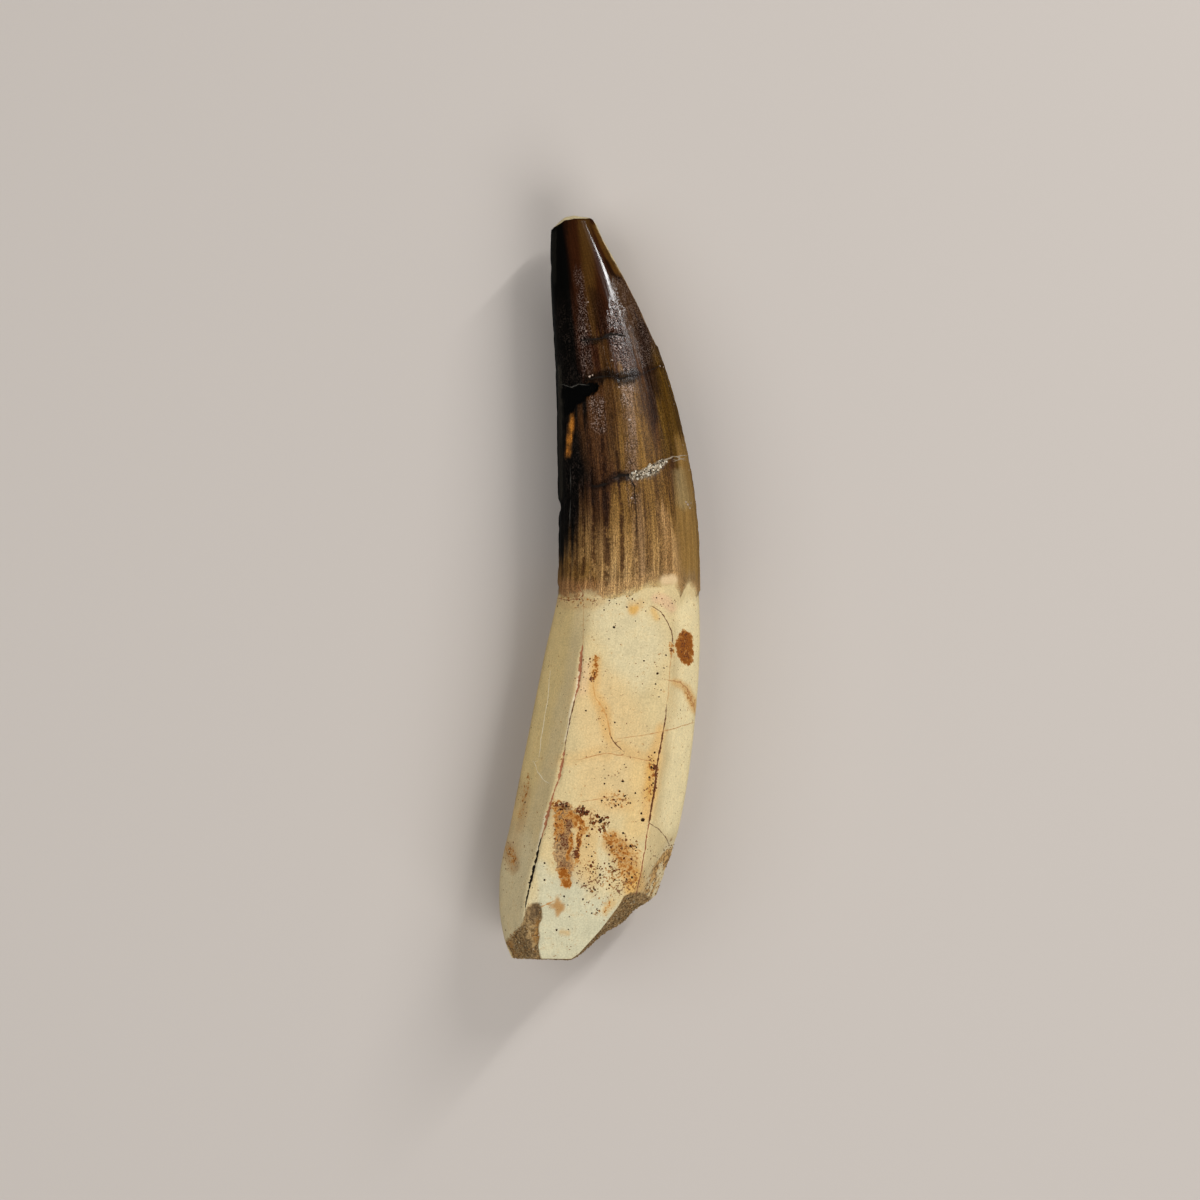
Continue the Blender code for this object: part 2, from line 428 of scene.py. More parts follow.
CROSS_CRACKS = (
    (GAP, 1, ((583, 340.5, 0.4), (594, 339, 0.9), (602, 338, 0.6), (611, 333.5, 1.1), (623, 335, 0.6))),
    (GAP, 1, ((588, 379, 0.1), (602, 377, 0.9), (612, 376, 0.1), (620, 379, 0.8), (632, 376, 0.4))),
    (GAP, 1, ((632, 376, 0.4), (644, 373, 0.1), (654, 369, 0.3), (662, 365, 0.1))),
    (GREY_LINE, 1, ((564, 385.5, 0.2), (571.5, 387.7, 0.3), (578, 383.9, 0.3), (584.5, 384.4, 0.2))),
    (GAP, 1, ((591, 485, 0.3), (598, 486.5, 1), (605, 484, 0.8))),
    (GAP, 1, ((614, 478, 0.5), (620, 476, 1.6), (628.6, 475, 1.2))),
    (PALE_CRACK, 1, ((664, 460.5, 0.5), (673.4, 456.5, 0.4), (684.3, 455.4, 0.3), (690, 456, 0.2))),
    (PALE_CRACK, 1, ((676, 460.5, 0.1), (681, 458.6, 0.6), (683, 459.5, 0.2))),
    (RED_BROWN, 1, ((556.6, 598, 0.2), (566, 600, 0.4), (577, 599, 0.4), (582, 595, 0.3), (578, 587, 0.2))),
    (ORANGE, 1,
        ((592, 682, 0.5), (595.5, 698, 0.5), (603, 709, 0.9), (607.5, 721, 0.7), (610.5, 736, 0.3))),
    (SCRATCH, 1, ((549.5, 670, 0.1), (546, 705, 0.2), (540.5, 738, 0.25), (538, 758, 0.1))),
    (SCRATCH, 1, ((533, 762, 0.1), (537, 772, 0.25), (543, 780, 0.25), (547, 783, 0.1))),
    (RUST, 1, ((650, 823, 0.2), (660, 830, 0.3), (666, 837, 0.3), (671, 845, 0.4))),
    (PALE_RUST, 1, ((618, 739, 0.1), (640, 736, 0.3), (666, 731, 0.3), (694, 723, 0.2))),
    (RUST, 1, ((609, 733, 0.3), (613, 741, 0.5), (618, 746.5, 0.4), (623.5, 751, 0.2))),
    (PALE_RUST, 1, ((578, 760, 0.1), (592, 756, 0.4), (606, 753, 0.3), (632, 757, 0.2), (655, 762, 0.3))),
    (PALE_RUST, 1, ((540.5, 907, 0.3), (545, 904.5, 0.8), (551, 902, 0.6))),
    (PALE_RUST, 1, ((580, 802, 0.1), (597, 799, 0.3), (612, 797, 0.2))),
    (PALE_RUST, 1, ((669, 680, 0.4), (682, 682, 0.7), (689, 689, 0.8), (693.5, 700, 0.6), (696, 711, 0.4))),
    (RUST, -1, ((556, 350, 0.4), (590, 356, 0.9), (620, 350, 0.6), (650, 352, 0.6))),
    (GAP, -1, ((560, 455, 0.4), (600, 462, 1), (640, 450, 0.8), (690, 458, 0.4))),
    (PALE_RUST, -1, ((540, 700, 0.2), (590, 712, 0.4), (640, 704, 0.4), (694, 716, 0.3))),
    (PALE_RUST, -1, ((520, 820, 0.2), (560, 812, 0.4), (620, 826, 0.4), (680, 818, 0.3))),
)
OFF_THE_LINE = 12.0
LINE_WANDER = 0.8


def lay_lines(lines):
    """Signed distance and half width, in millimetres, and tint, of the nearest line of a group."""
    bend_x = seen_x + LINE_WANDER * rough(*over_tooth(1, 1), 31)
    bend_y = seen_y + LINE_WANDER * rough(*over_tooth(1, 1), 35)
    nearest = np.full(seen_x.shape, 1e6)
    signed = np.full(seen_x.shape, 1e3)
    width = np.full(seen_x.shape, -1.0)
    tint = np.zeros(seen_x.shape + (3,))
    for colour, side, points in lines:
        facing = in_front if side > 0 else behind
        away, half = line_distance(points, bend_x, bend_y)
        here = (np.abs(away) < nearest) & (facing > 0.5)
        nearest = np.where(here, np.abs(away), nearest)
        signed = np.where(here, away, signed)
        width = np.where(here, half, width)
        tint = np.where(here[..., None], colour, tint)
    width = width - smooth_share(nearest, OFF_THE_LINE / 3, OFF_THE_LINE) * 60
    return signed * PIXEL, width * PIXEL, tint


crack_groups = {"long": lay_lines(LONG_CRACKS), "cross": lay_lines(CROSS_CRACKS)}


# Patches with an outline: where enamel is missing, and where sandstone fills a break.
def inside_patch(points, x, y):
    """Distance into a patch from its outline, in pixels; negative outside it."""
    best = np.full(np.shape(x), 1e6)
    inside = np.zeros(np.shape(x), bool)
    for (x0, y0), (x1, y1) in zip(points, points[1:] + points[:1]):
        dx, dy = x1 - x0, y1 - y0
        _, away_x, away_y = from_segment(x, y, x0, y0, dx, dy)
        best = np.minimum(best, np.hypot(away_x, away_y))
        if dy:
            inside ^= ((y0 > y) != (y1 > y)) & (x < x0 + (y - y0) * dx / dy)
    return np.where(inside, best, -best)


MISSING_ENAMEL = (
    (563, 385.5), (572, 387.5), (578, 384), (585, 384), (592, 381.5), (598, 384), (599, 389),
    (595, 393), (589, 396.5), (584, 398.5), (581, 403.5), (576, 405), (573, 411.5), (568, 414),
    (563, 410), (561.5, 398),
)
SAND_FILLED_BAND = (
    (627.5, 476), (636, 470.5), (645, 468.5), (652, 464), (664, 459.5), (668, 461), (664, 465),
    (659, 471.5), (650, 477.5), (640, 479), (632, 479),
)
CORNER_SANDSTONE = (
    (524, 912), (528, 905), (533, 902), (538.5, 902.5), (541, 907), (541.7, 917), (538, 925),
    (538.5, 938), (537, 947), (541, 962), (514, 964), (503, 952), (505, 941), (514, 930.5), (521, 925),
)
BREAK_CORNER = (
    (630, 893), (637, 892), (644, 893), (650, 896.5), (655.5, 901), (660, 908), (650, 914), (628, 910),
    (622, 899),
)
CORNER_CHIP = (
    (668, 838), (664, 850), (658, 860), (653, 870), (648, 880), (643, 896), (646, 912), (684, 912),
    (684, 838),
)
FAR_OUTSIDE = -50.0
OUTLINE_BEND = 1.3
bend = OUTLINE_BEND * rough(*over_tooth(0.8, 0.8), 41)


def patch(points, shown, bent=1.0):
    """Distance into a patch of the surface, its outline bent, where it is shown."""
    return np.where(shown, inside_patch(points, seen_x, seen_y) + bent * bend, FAR_OUTSIDE)


missing = patch(MISSING_ENAMEL, in_front > 0.5, 0.4)
sand_band = patch(SAND_FILLED_BAND, in_front > 0.5)
chip = patch(CORNER_CHIP, np.sin(angle) > -0.35, 2.5)
corner_patch = patch(CORNER_SANDSTONE, in_front > 0.4)
break_corner = patch(BREAK_CORNER, np.sin(angle) > -0.3)
sandstone = np.maximum(corner_patch, break_corner)

# Relief of the crown: flutes that run up from its base, fine ridges, and a keel down each edge.
# Where each front flute is at the crown's base, in the photograph, and how strong it is.
FLUTES_IN_FRONT = {
    562: 0.8, 570: 0.9, 576.5: 0.9, 583.5: 0.8, 593.5: 1.1, 607: 1.1, 622.5: 1, 636: 0.6,
    647: 0.5, 660: 0.5, 674: 0.35,
}
FLUTE_HEIGHT = 48.3
FLUTES_BEHIND = 15
FLUTE_DEPTH = 0.085
FLUTE_HALF_WIDTH = 0.046
RIDGE_DEPTH = 0.030
KEEL_HEIGHT = 0.20
KEEL_HALF_WIDTH = 0.035
EDGE_HALF_WIDTH = 0.2
ENAMEL_THICKNESS = 0.16
base_left = along_outline(np.array(FLUTE_HEIGHT), 1)
base_right = along_outline(np.array(FLUTE_HEIGHT), 2)
base_depth = along_outline(np.array(FLUTE_HEIGHT), 3) * THICKNESS / 2
flute_angles = []
for x in FLUTES_IN_FRONT:
    across, _ = place_at_height(x, 0.0, MIDDLE_HEIGHT + 6)
    share = (across - (base_left + base_right) / 2) / ((base_right - base_left) / 2)
    share = float(np.clip(share, -0.995, 0.995))
    upward = (1 - abs(share) ** CROWN_ROUNDNESS) ** (1 / CROWN_ROUNDNESS) * base_depth
    flute_angles.append(math.atan2(upward, share * (base_right - base_left) / 2))
flute_chance = np.random.default_rng(51)
for i in range(FLUTES_BEHIND):
    flute_angles.append(math.pi + (i + 0.5) * (math.pi - 0.5) / FLUTES_BEHIND)


def turn_from(centre):
    """How far round the tooth each point is from an angle, from minus to plus half a turn."""
    return (angle - centre + math.pi) % (2 * math.pi) - math.pi


def bell(away, width):
    """One in the middle, falling off over a width."""
    return np.exp(-((away / width) ** 2))


groove = np.zeros(angle.shape)
flute_strengths = list(FLUTES_IN_FRONT.values()) + [0.8] * FLUTES_BEHIND
for flute_angle, strength in zip(flute_angles, flute_strengths):
    wander = 0.012 * lumps(down / 9, flute_angle * 7, 0.0, 52)
    width = FLUTE_HALF_WIDTH * flute_chance.uniform(0.75, 1.3)
    depth = strength * flute_chance.uniform(0.85, 1.05)
    groove = np.maximum(groove, depth * bell(turn_from(flute_angle + wander), width))
on_enamel = smooth_share(enamel_side, -0.1, 0.5)
flute_strength = smooth_share(down, 20.0, 44.0) * on_enamel * (1 - 0.75 * smooth_share(down, 52.0, 56.0))
fine_ridges = rough(*over_tooth(0.42, 7), 53, 2)
relief = -FLUTE_DEPTH * groove * flute_strength
relief += RIDGE_DEPTH * (fine_ridges - 1) * on_enamel * smooth_share(down, 4.0, 26.0)
for keel_angle in (0.0, math.pi):
    turn = turn_from(keel_angle)
    uneven = 1 + 0.6 * rough(down / 0.9, 0.0, keel_angle, 55, 2)
    keel = bell(turn, KEEL_HALF_WIDTH) * uneven
    beside = bell(turn, EDGE_HALF_WIDTH) * smooth_share(down, 8.0, 20.0) * on_enamel
    relief -= KEEL_HEIGHT * np.clip(1 - keel, 0.0, 1.0) * beside
# Notches in the left edge, in the photograph: y, length, depth.
EDGE_NOTCHES = ((507.0, 6.0, 0.4), (268.0, 5.0, 0.12), (588.0, 4.0, 0.3))
for notch_y, notch_length, notch_depth in EDGE_NOTCHES:
    notch = bell(seen_y - notch_y, notch_length) * bell(turn_from(math.pi), EDGE_HALF_WIDTH)
    relief -= notch_depth * notch

# Relief of the root: it lies an enamel's thickness lower at the edge, with long shallow hollows.
relief -= ENAMEL_THICKNESS * (1 - on_enamel) * np.exp(np.minimum(enamel_side, 0.0) / 4.0)
on_root = 1 - on_enamel
HOLLOW_DEPTH = 0.10
ROOT_LOWERED = 1.5
ROOT_UNEVENNESS = 0.02
relief += HOLLOW_DEPTH * (lumps(*over_tooth(7, 15), 57) - ROOT_LOWERED) * on_root
relief += ROOT_UNEVENNESS * rough(*over_tooth(0.9, 7), 59) * on_root

# Relief of the cracks and patches.
CRACK_DEPTH = 0.24
for off, half, _ in crack_groups.values():
    open_share = smooth_share(half, 0.04, 0.20)
    relief -= CRACK_DEPTH * open_share * bell(off, np.maximum(half + 0.12, 0.16))
MISSING_DEPTH = 0.55
relief -= MISSING_DEPTH * smooth_share(missing, 0.0, 3.0)
grit = rough(*over_tooth(0.6, 0.6), 61)
# patch, its depth, how uneven it is, and where its edge starts and ends, in pixels
for stony, depth, uneven, edge_starts, edge_ends in (
    (sand_band, 0.22, 0.14, -1, 2),
    (corner_patch, 0.45, 0.3, -1, 4),
    (break_corner, 0.15, 0.25, -1, 4),
    (chip, 0.12, 0.2, 0, 5),
):
    relief -= (depth + uneven * grit) * smooth_share(stony, edge_starts, edge_ends)
HIGHEST_RELIEF = 0.02
radius = radius + np.minimum(relief, HIGHEST_RELIEF) - HIGHEST_RELIEF

# Colours of the crown, laid on as soft strokes over a dark red-brown ground.
ENAMEL_BLACK = (0.0016, 0.0014, 0.0012)
ENAMEL_GROUND = (0.055, 0.021, 0.0048)
ENAMEL_RED = (0.029, 0.0082, 0.0024)
ENAMEL_DARK = (0.013, 0.0045, 0.0018)
ENAMEL_BROWN = (0.16, 0.082, 0.016)
ENAMEL_GREY_BROWN = (0.06, 0.03, 0.0135)
ENAMEL_OLIVE = (0.082, 0.04, 0.003)
ENAMEL_TAN = (0.305, 0.18, 0.062)
ENAMEL_BASE = (0.235, 0.145, 0.058)
ENAMEL_HONEY = (0.265, 0.15, 0.038)
# Pale tan that paints the key lamp's highlight running down the crown's grainy middle.
PALE_HIGHLIGHT = (0.155, 0.09, 0.046)
ENAMEL_AMBER = (0.085, 0.036, 0.006)
ENAMEL_SMOKE = (0.285, 0.22, 0.105)
ENAMEL_ORANGE = (0.38, 0.14, 0.015)
ENAMEL_RUSSET = (0.058, 0.025, 0.0048)
ENAMEL_TOFFEE = (0.06, 0.027, 0.0055)
# Grey painted sheen: a reflection of the room along the crown's left edge, laid on as colour.
PAINTED_EDGE_SHEEN = (0.024, 0.022, 0.017)
PINK_CREAM = (0.68, 0.49, 0.27)
WORN_CREAM = (0.5, 0.36, 0.155)
REDDISH_TAN = (0.3, 0.15, 0.055)
BASE_TAN = (0.36, 0.215, 0.085)
# Colour, strength, fade, side (1 front, -1 back, 0 both), points with half widths.
CROWN_STROKES = (
    (ENAMEL_RED, 1, 24, 0, ((570, 205, 34), (585, 260, 30), (600, 300, 22), (606, 345, 16))),
    (ENAMEL_TOFFEE, 0.9, 7, 1, ((583, 222, 3), (588, 262, 3), (591, 300, 2), (594, 330, 2))),
    (ENAMEL_GREY_BROWN, 0.9, 10, 1, ((618, 283, 4), (632, 312, 8), (643, 340, 9), (656, 360, 6))),
    (ENAMEL_RUSSET, 0.85, 6, 1, ((603, 346, 3), (607, 370, 5), (610, 400, 3), (612, 460, 2))),
    (ENAMEL_BROWN, 0.9, 15, 0,
        ((628, 386, 3), (633, 420, 5), (637, 450, 12), (645, 482, 16), (642, 520, 30))),
    (ENAMEL_TAN, 1, 82, 0, ((596, 602, 22), (700, 602, 22))),
    (ENAMEL_BASE, 0.8, 26, 0, ((560, 592, 10), (700, 592, 10))),
    (ENAMEL_OLIVE, 0.95, 10, 0,
        ((654, 352, 3), (663, 375, 6), (670, 410, 7), (673, 436, 8), (668, 452, 4))),
    (ENAMEL_HONEY, 0.85, 12, 0, ((686, 447, 2), (690, 480, 5), (692, 520, 7), (694, 562, 6))),
    (ENAMEL_DARK, 0.85, 7, 1, ((640, 322, 2), (649, 362, 3), (653, 390, 4), (655, 414, 2))),
    # The next two pale strokes paint the key lamp's highlight running down the crown.
    (PALE_HIGHLIGHT, 0.9, 6, 1, ((627, 385, 3), (629, 402, 3), (632, 428, 2), (634, 480, 1))),
    (PALE_HIGHLIGHT, 0.6, 5, 1, ((639, 495, 1), (641, 540, 2), (642, 575, 2))),
    (BASE_TAN, 0.85, 7, 1, ((662, 505, 0.5), (667, 530, 2), (670, 555, 3.5), (672, 578, 4))),
    (ENAMEL_DARK, 0.7, 8, 1, ((596, 300, 2), (600, 316, 3), (604, 332, 3))),
    (ENAMEL_BLACK, 1, 18, 0, ((538, 205, 18), (545, 245, 17), (551, 300, 18), (556, 330, 18))),
    (ENAMEL_BLACK, 1, 17, 0, ((556, 330, 18), (560, 385, 22), (556, 430, 16), (557, 455, 17))),
    (ENAMEL_BLACK, 1, 20, 0, ((557, 455, 17), (560, 480, 23), (556, 512, 17), (551, 545, 9))),
    (ENAMEL_RED, 0.8, 6, 1, ((571, 232, 1), (577, 290, 1), (581, 345, 1), (585, 376, 1))),
    (ENAMEL_BROWN, 0.8, 14, 1, ((558, 572, 8), (585, 576, 6))),
)
# Marks that keep their own outline.
CROWN_MARKS = (
    # The next two grey strips along the left edge are painted sheen, a reflection laid on as colour.
    (PAINTED_EDGE_SHEEN, 0.3, 2, 1, ((554.6, 232, 1), (554, 262, 1.2), (554.5, 282, 0.5))),
    (PAINTED_EDGE_SHEEN, 0.9, 2, 1, ((559, 366, 0.6), (560, 400, 1.2), (560, 450, 1.2), (560.5, 498, 0.6))),
    (ENAMEL_AMBER, 1, 3, 1, ((597, 226, 3), (606, 244, 4.5), (614, 258, 5.5), (619, 270, 4))),
    (ENAMEL_RUSSET, 0.7, 3, 1, ((607, 250, 1), (614, 264, 2))),
    (ENAMEL_DARK, 0.9, 2.5, 1, ((606, 260, 0.5), (612, 273, 1), (620, 280, 1))),
    (ENAMEL_HONEY, 0.75, 10, 1, ((688, 462, 2), (692, 500, 7), (696, 560, 8))),
    (ENAMEL_SMOKE, 0.5, 9, 1, ((680, 474, 1), (683, 490, 2), (685, 502, 3))),
    (ENAMEL_BLACK, 0.85, 6, 1, ((588, 380, 1), (600, 377, 4), (611, 374, 1), (622, 379, 4), (634, 375, 3))),
    (ENAMEL_DARK, 0.6, 3.5, 1, ((634, 375, 2.5), (644, 373, 0.5), (652, 370, 1.5), (661, 366, 0.5))),
    (ENAMEL_BLACK, 0.8, 3.5, 1, ((584, 341, 1), (596, 340, 1.5), (612, 336, 1), (623, 335, 1))),
    (ENAMEL_DARK, 0.9, 4, 1, ((588, 486, 1), (600, 486, 2), (616, 477, 3), (627, 477, 3))),
    (ENAMEL_RUSSET, 0.8, 3, 1, ((572, 411, 0.5), (570, 440, 1.5), (567, 457, 0.5))),
    (ENAMEL_ORANGE, 0.24, 3.2, 1, ((572, 414, 0.3), (570, 432, 1.5), (567, 456, 0.6))),
    (ENAMEL_ORANGE, 0.95, 2.4, 1, ((572, 419, 0.1), (571.4, 423, 0.9), (571, 430, 0.5))),
    (ENAMEL_ORANGE, 0.95, 2.6, 1, ((570, 436, 0.4), (569, 439, 1.3), (568.8, 443, 0.4))),
    (ENAMEL_ORANGE, 0.8, 2, 1, ((568, 448, 0.3), (567.4, 453, 0.9))),
    (REDDISH_TAN, 0.8, 12, 1, ((552, 590, 6), (575, 592, 6), (596, 590, 3))),
    (BASE_TAN, 0.8, 12, 1, ((606, 592, 4), (630, 590, 4), (648, 582, 3))),
    (WORN_CREAM, 0.7, 6, 1, ((608, 601, 2), (632, 595, 2), (652, 587, 2), (674, 583, 1))),
    (PINK_CREAM, 0.95, 4, 1, ((666, 580, 3.5), (672, 579.5, 3.5))),
    (BASE_TAN, 0.7, 6, 1, ((680, 586, 2), (698, 588, 2))),
)

# Colours of the root.
CREAM = (0.62, 0.485, 0.25)
PALE_CREAM = (0.635, 0.535, 0.315)
WARM_CREAM = (0.65, 0.475, 0.23)
GOLDEN_CREAM = (0.68, 0.48, 0.21)
GREEN_CREAM = (0.565, 0.52, 0.345)
LEFT_CREAM = (0.665, 0.5, 0.22)
LOW_LEFT_CREAM = (0.64, 0.53, 0.305)
RIGHT_CREAM = (0.775, 0.65, 0.37)
DIRTY_CREAM = (0.55, 0.37, 0.165)
ORANGE_HAZE = (0.64, 0.39, 0.14)
BROWN_HAZE = (0.42, 0.25, 0.105)
PINK_HAZE = (0.64, 0.39, 0.23)
# Near-white painted highlight: the raised rim beside the left crack catching the light.
CRACK_RIM_HIGHLIGHT = (0.95, 0.86, 0.64)
DIAMOND_BROWN = (0.43, 0.235, 0.08)
YELLOW_STAIN = (0.62, 0.35, 0.085)
WORN_TAN = (0.38, 0.215, 0.085)
ROOT_STROKES = (
    (WORN_TAN, 1, 14, 0, ((632, 286, 6), (650, 325, 8), (662, 350, 8))),
    (PALE_CREAM, 0.9, 24, 0, ((618, 618, 14), (634, 642, 18), (632, 668, 12))),
    (RIGHT_CREAM, 0.9, 12, 0, ((694, 612, 10), (694, 690, 9), (686, 750, 9), (676, 822, 9))),
    (WARM_CREAM, 0.9, 26, 0, ((602, 700, 18), (616, 735, 20), (606, 785, 16))),
    (GOLDEN_CREAM, 0.8, 12, 1, ((640, 770, 4), (638, 808, 6), (636, 828, 6))),
    (LEFT_CREAM, 0.9, 10, 0, ((553, 600, 16), (540, 680, 16), (522, 760, 16), (512, 800, 14))),
    (LOW_LEFT_CREAM, 0.9, 16, 0, ((510, 850, 16), (508, 930, 14))),
    (GREEN_CREAM, 1, 22, 0, ((565, 895, 14), (556, 935, 22), (590, 925, 24))),
    (GREEN_CREAM, 0.8, 7, 1, ((541, 868, 3), (548, 896, 6))),
    (PALE_CREAM, 0.8, 6, 1, ((603, 833, 2), (603, 868, 3), (600, 893, 4))),
    (DIRTY_CREAM, 0.5, 12, 1, ((516, 790, 5), (506, 850, 6))),
    (DIRTY_CREAM, 0.6, 8, 1, ((556, 600, 2), (572, 602, 3), (590, 603, 2), (603, 603, 1))),
    (ORANGE_HAZE, 0.8, 9, 1, ((661, 730, 1), (656, 760, 3), (649, 790, 4), (648, 815, 2))),
    (YELLOW_STAIN, 0.7, 6, 1, ((654, 764, 1), (650, 780, 2), (649, 794, 2))),
    (ORANGE_HAZE, 0.85, 8, 1, ((595, 660, 1), (592, 690, 1), (604, 712, 3), (609, 738, 1))),
    (ORANGE_HAZE, 0.5, 8, 1, ((612, 745, 1), (640, 757, 2), (655, 760, 2))),
    (ORANGE_HAZE, 0.35, 8, 1, ((560, 760, 1), (592, 756, 2), (607, 753, 2))),
    (ORANGE_HAZE, 0.5, 8, 1, ((634, 607, 3), (640, 604, 1))),
    (ORANGE_HAZE, 0.85, 5, 1, ((676, 682, 1), (687, 688, 2), (693, 700, 2), (696, 710, 1))),
    (PINK_HAZE, 0.6, 6, 1, ((658, 600, 2), (666, 601, 3), (672, 607, 2))),
    (YELLOW_STAIN, 0.9, 4, 1, ((632, 609, 2), (636, 607, 1))),
    (YELLOW_STAIN, 0.6, 4, 1, ((655, 612, 1), (658, 619, 1))),
    (PINK_HAZE, 0.35, 8, 1, ((584, 665, 2), (581, 690, 1))),
    # The next three thin lines paint the highlight on the rim of the left crack.
    (CRACK_RIM_HIGHLIGHT, 0.5, 1.4, 1, ((580.5, 650, 0), (578.4, 664, 0.3), (576.2, 686, 0.2), (573.2, 700, 0.2))),
    (CRACK_RIM_HIGHLIGHT, 0.5, 1.4, 1, ((573.2, 700, 0.2), (569, 722, 0.3), (565, 742, 0))),
    (CRACK_RIM_HIGHLIGHT, 0.5, 1.4, 1, ((543.5, 814, 0), (539.6, 836, 0.4), (536, 850, 0))),
    (BROWN_HAZE, 0.5, 8, 1, ((560, 812, 6), (565, 850, 6), (566, 880, 3))),
    (ORANGE_HAZE, 0.45, 12, 1, ((586, 820, 6), (584, 850, 5), (586, 876, 6))),
    (ORANGE_HAZE, 0.85, 10, 1, ((612, 842, 6), (628, 856, 7), (634, 884, 6))),
    (BROWN_HAZE, 0.55, 8, 1, ((612, 842, 4), (622, 850, 5), (632, 868, 3))),
    (YELLOW_STAIN, 0.6, 6, 1, ((634, 872, 3), (631, 890, 3))),
    (YELLOW_STAIN, 0.5, 5, 1, ((612, 903, 2), (605, 911, 1))),
    (DIAMOND_BROWN, 0.85, 2.5, 1, ((549, 905, 0.3), (554, 904, 2.5), (559, 905, 3.5))),
    (DIAMOND_BROWN, 0.9, 2.5, 1, ((555.5, 896, 0.3), (557, 904, 3), (556.5, 914, 0.3))),
    (DIRTY_CREAM, 0.8, 3, 1, ((562, 934, 1), (569, 935, 1))),
    (ORANGE_HAZE, 0.4, 10, 1, ((608, 800, 5), (624, 802, 4))),
    (BROWN_HAZE, 0.65, 6, 1, ((507, 846, 2), (512, 866, 3))),
    (BROWN_HAZE, 0.4, 6, 1, ((527, 792, 1), (518, 830, 1))),
)


def stroke_share(stroke, x, y):
    """How strongly one soft stroke covers each point of the surface."""
    strength, fade, side, points = stroke
    away, half_width = line_distance(points, x, y)
    facing = {1: in_front, -1: behind, 0: 1.0}[side]
    return strength * facing * (1 - smooth_share(np.abs(away), half_width, half_width + fade))


def paint(ground, strokes, x, y):
    """Colour of each point under a list of strokes."""
    colour = np.broadcast_to(ground, seen_x.shape + (3,)).copy()
    for tint, *stroke in strokes:
        colour += (np.array(tint) - colour) * stroke_share(stroke, x, y)[..., None]
    return colour


def strongest(strokes, x, y):
    """The strongest of several strokes at each point."""
    return np.max([stroke_share(stroke, x, y) for stroke in strokes], 0)


streaks = rough(*over_tooth(0.55, 14), 71)
blots = rough(*over_tooth(2.4, 4), 75)
STREAKS_ASIDE = 7
STREAKS_ALONG = 24
crown_x = seen_x + STREAKS_ASIDE * streaks * smooth_share(seen_y, 225, 330)
crown_y = seen_y + STREAKS_ALONG * streaks
crown_wash = paint(ENAMEL_GROUND, CROWN_STROKES, crown_x, crown_y)
crown_wash = paint(crown_wash, CROWN_MARKS, seen_x + streaks + 0.8 * bend, seen_y + 2 * streaks + 2 * bend)
root_wash = paint(CREAM, ROOT_STROKES, seen_x + 3 * blots, seen_y + 5 * blots)

# Stains with ragged edges: rust, and dark iron. Amount, fade, side, points with half widths.
RUST_STAINS = (
    (1.25, 5, 1, ((687, 637, 4), (686, 646, 7), (687, 658, 5))),
    (0.75, 3, 1, ((673, 645, 1.5), (673.5, 652, 1))),
    (0.85, 3, 1, ((597, 655, 0.4), (595.5, 667, 1.5), (592.5, 679, 0.9))),
    (0.55, 3, 1, ((600, 705, 1), (604, 712, 1))),
    (0.6, 4, 1, ((686, 688, 1), (690, 694, 2), (694, 704, 2))),
    (0.72, 6, 1, ((556, 806, 4), (560, 820, 5), (557, 838, 2))),
    (1, 5, 1, ((563, 872, 3), (566, 882, 4))),
    (0.85, 6, 1, ((572, 815, 3), (583, 830, 3))),
    (1, 2.5, 1, ((582, 822, 1.3), (579, 842, 1.6), (577, 862, 1.4))),
    (0.95, 2.5, 1, ((572, 836, 1), (569, 850, 1.3), (567, 860, 1))),
    (0.72, 9, 1, ((610, 838, 4), (622, 852, 5), (632, 878, 4))),
    (0.45, 8, 1, ((612, 797, 4), (622, 801, 4))),
    (0.5, 4, 1, ((604, 910, 1), (610, 902, 1.5))),
    (0.6, 4, 1, ((505, 846, 1), (510, 852, 2), (513, 862, 2))),
    (0.5, 4, 1, ((527, 775, 1), (523, 800, 1), (518, 818, 1))),
    (0.85, 3, 1, ((650, 766, 1), (656, 769, 2), (655, 776, 1.5))),
    (0.65, 3, 1, ((651, 786, 1), (650, 800, 0.5))),
    (0.5, 4, 1, ((558, 599, 1), (575, 601, 1), (586, 600, 1))),
    (1.1, 6, -1, ((560, 690, 6), (566, 702, 8))),
    (0.9, 6, -1, ((660, 640, 4), (664, 656, 3))),
    (0.7, 12, -1, ((610, 830, 8), (620, 860, 8))),
    (0.6, 8, -1, ((640, 740, 3), (630, 790, 3))),
)
DARK_STAINS = (
    (0.95, 3, 1, ((578, 811, 1.5), (587, 813, 2))),
    (0.7, 4, 1, ((556, 804, 1.5), (560, 806, 2), (566, 803, 1))),
    (0.62, 4, 1, ((567, 822, 2), (570, 830, 2))),
    (0.55, 3, 1, ((581, 826, 1), (578, 846, 1.2), (577, 858, 1))),
    (0.75, 4, 1, ((576, 850, 1.5), (575, 856, 1.5))),
    (0.55, 4, 1, ((564, 862, 1.5), (562, 868, 1.5))),
    (0.6, 5, 1, ((561, 835, 2), (566, 845, 2.5))),
    (0.8, 2.5, 1, ((592, 677, 1), (592, 680, 1))),
    (0.7, 2, 1, ((673, 648, 1), (673, 651, 1))),
    (0.8, 3, 1, ((655, 767, 1), (657, 773, 1.2))),
    (0.45, 6, 1, ((686, 638, 3), (687, 655, 3))),
    (0.8, 3, -1, ((620, 842, 2), (630, 848, 2))),
    (0.7, 3, -1, ((556, 700, 2), (560, 706, 2))),
)
CRUST = (
    (551, 803), (560, 800), (572, 804), (580, 808), (579, 818), (573, 832), (572, 850), (575, 862),
    (574, 878), (570, 889), (562, 890), (557, 876), (552, 860), (551, 838),
)
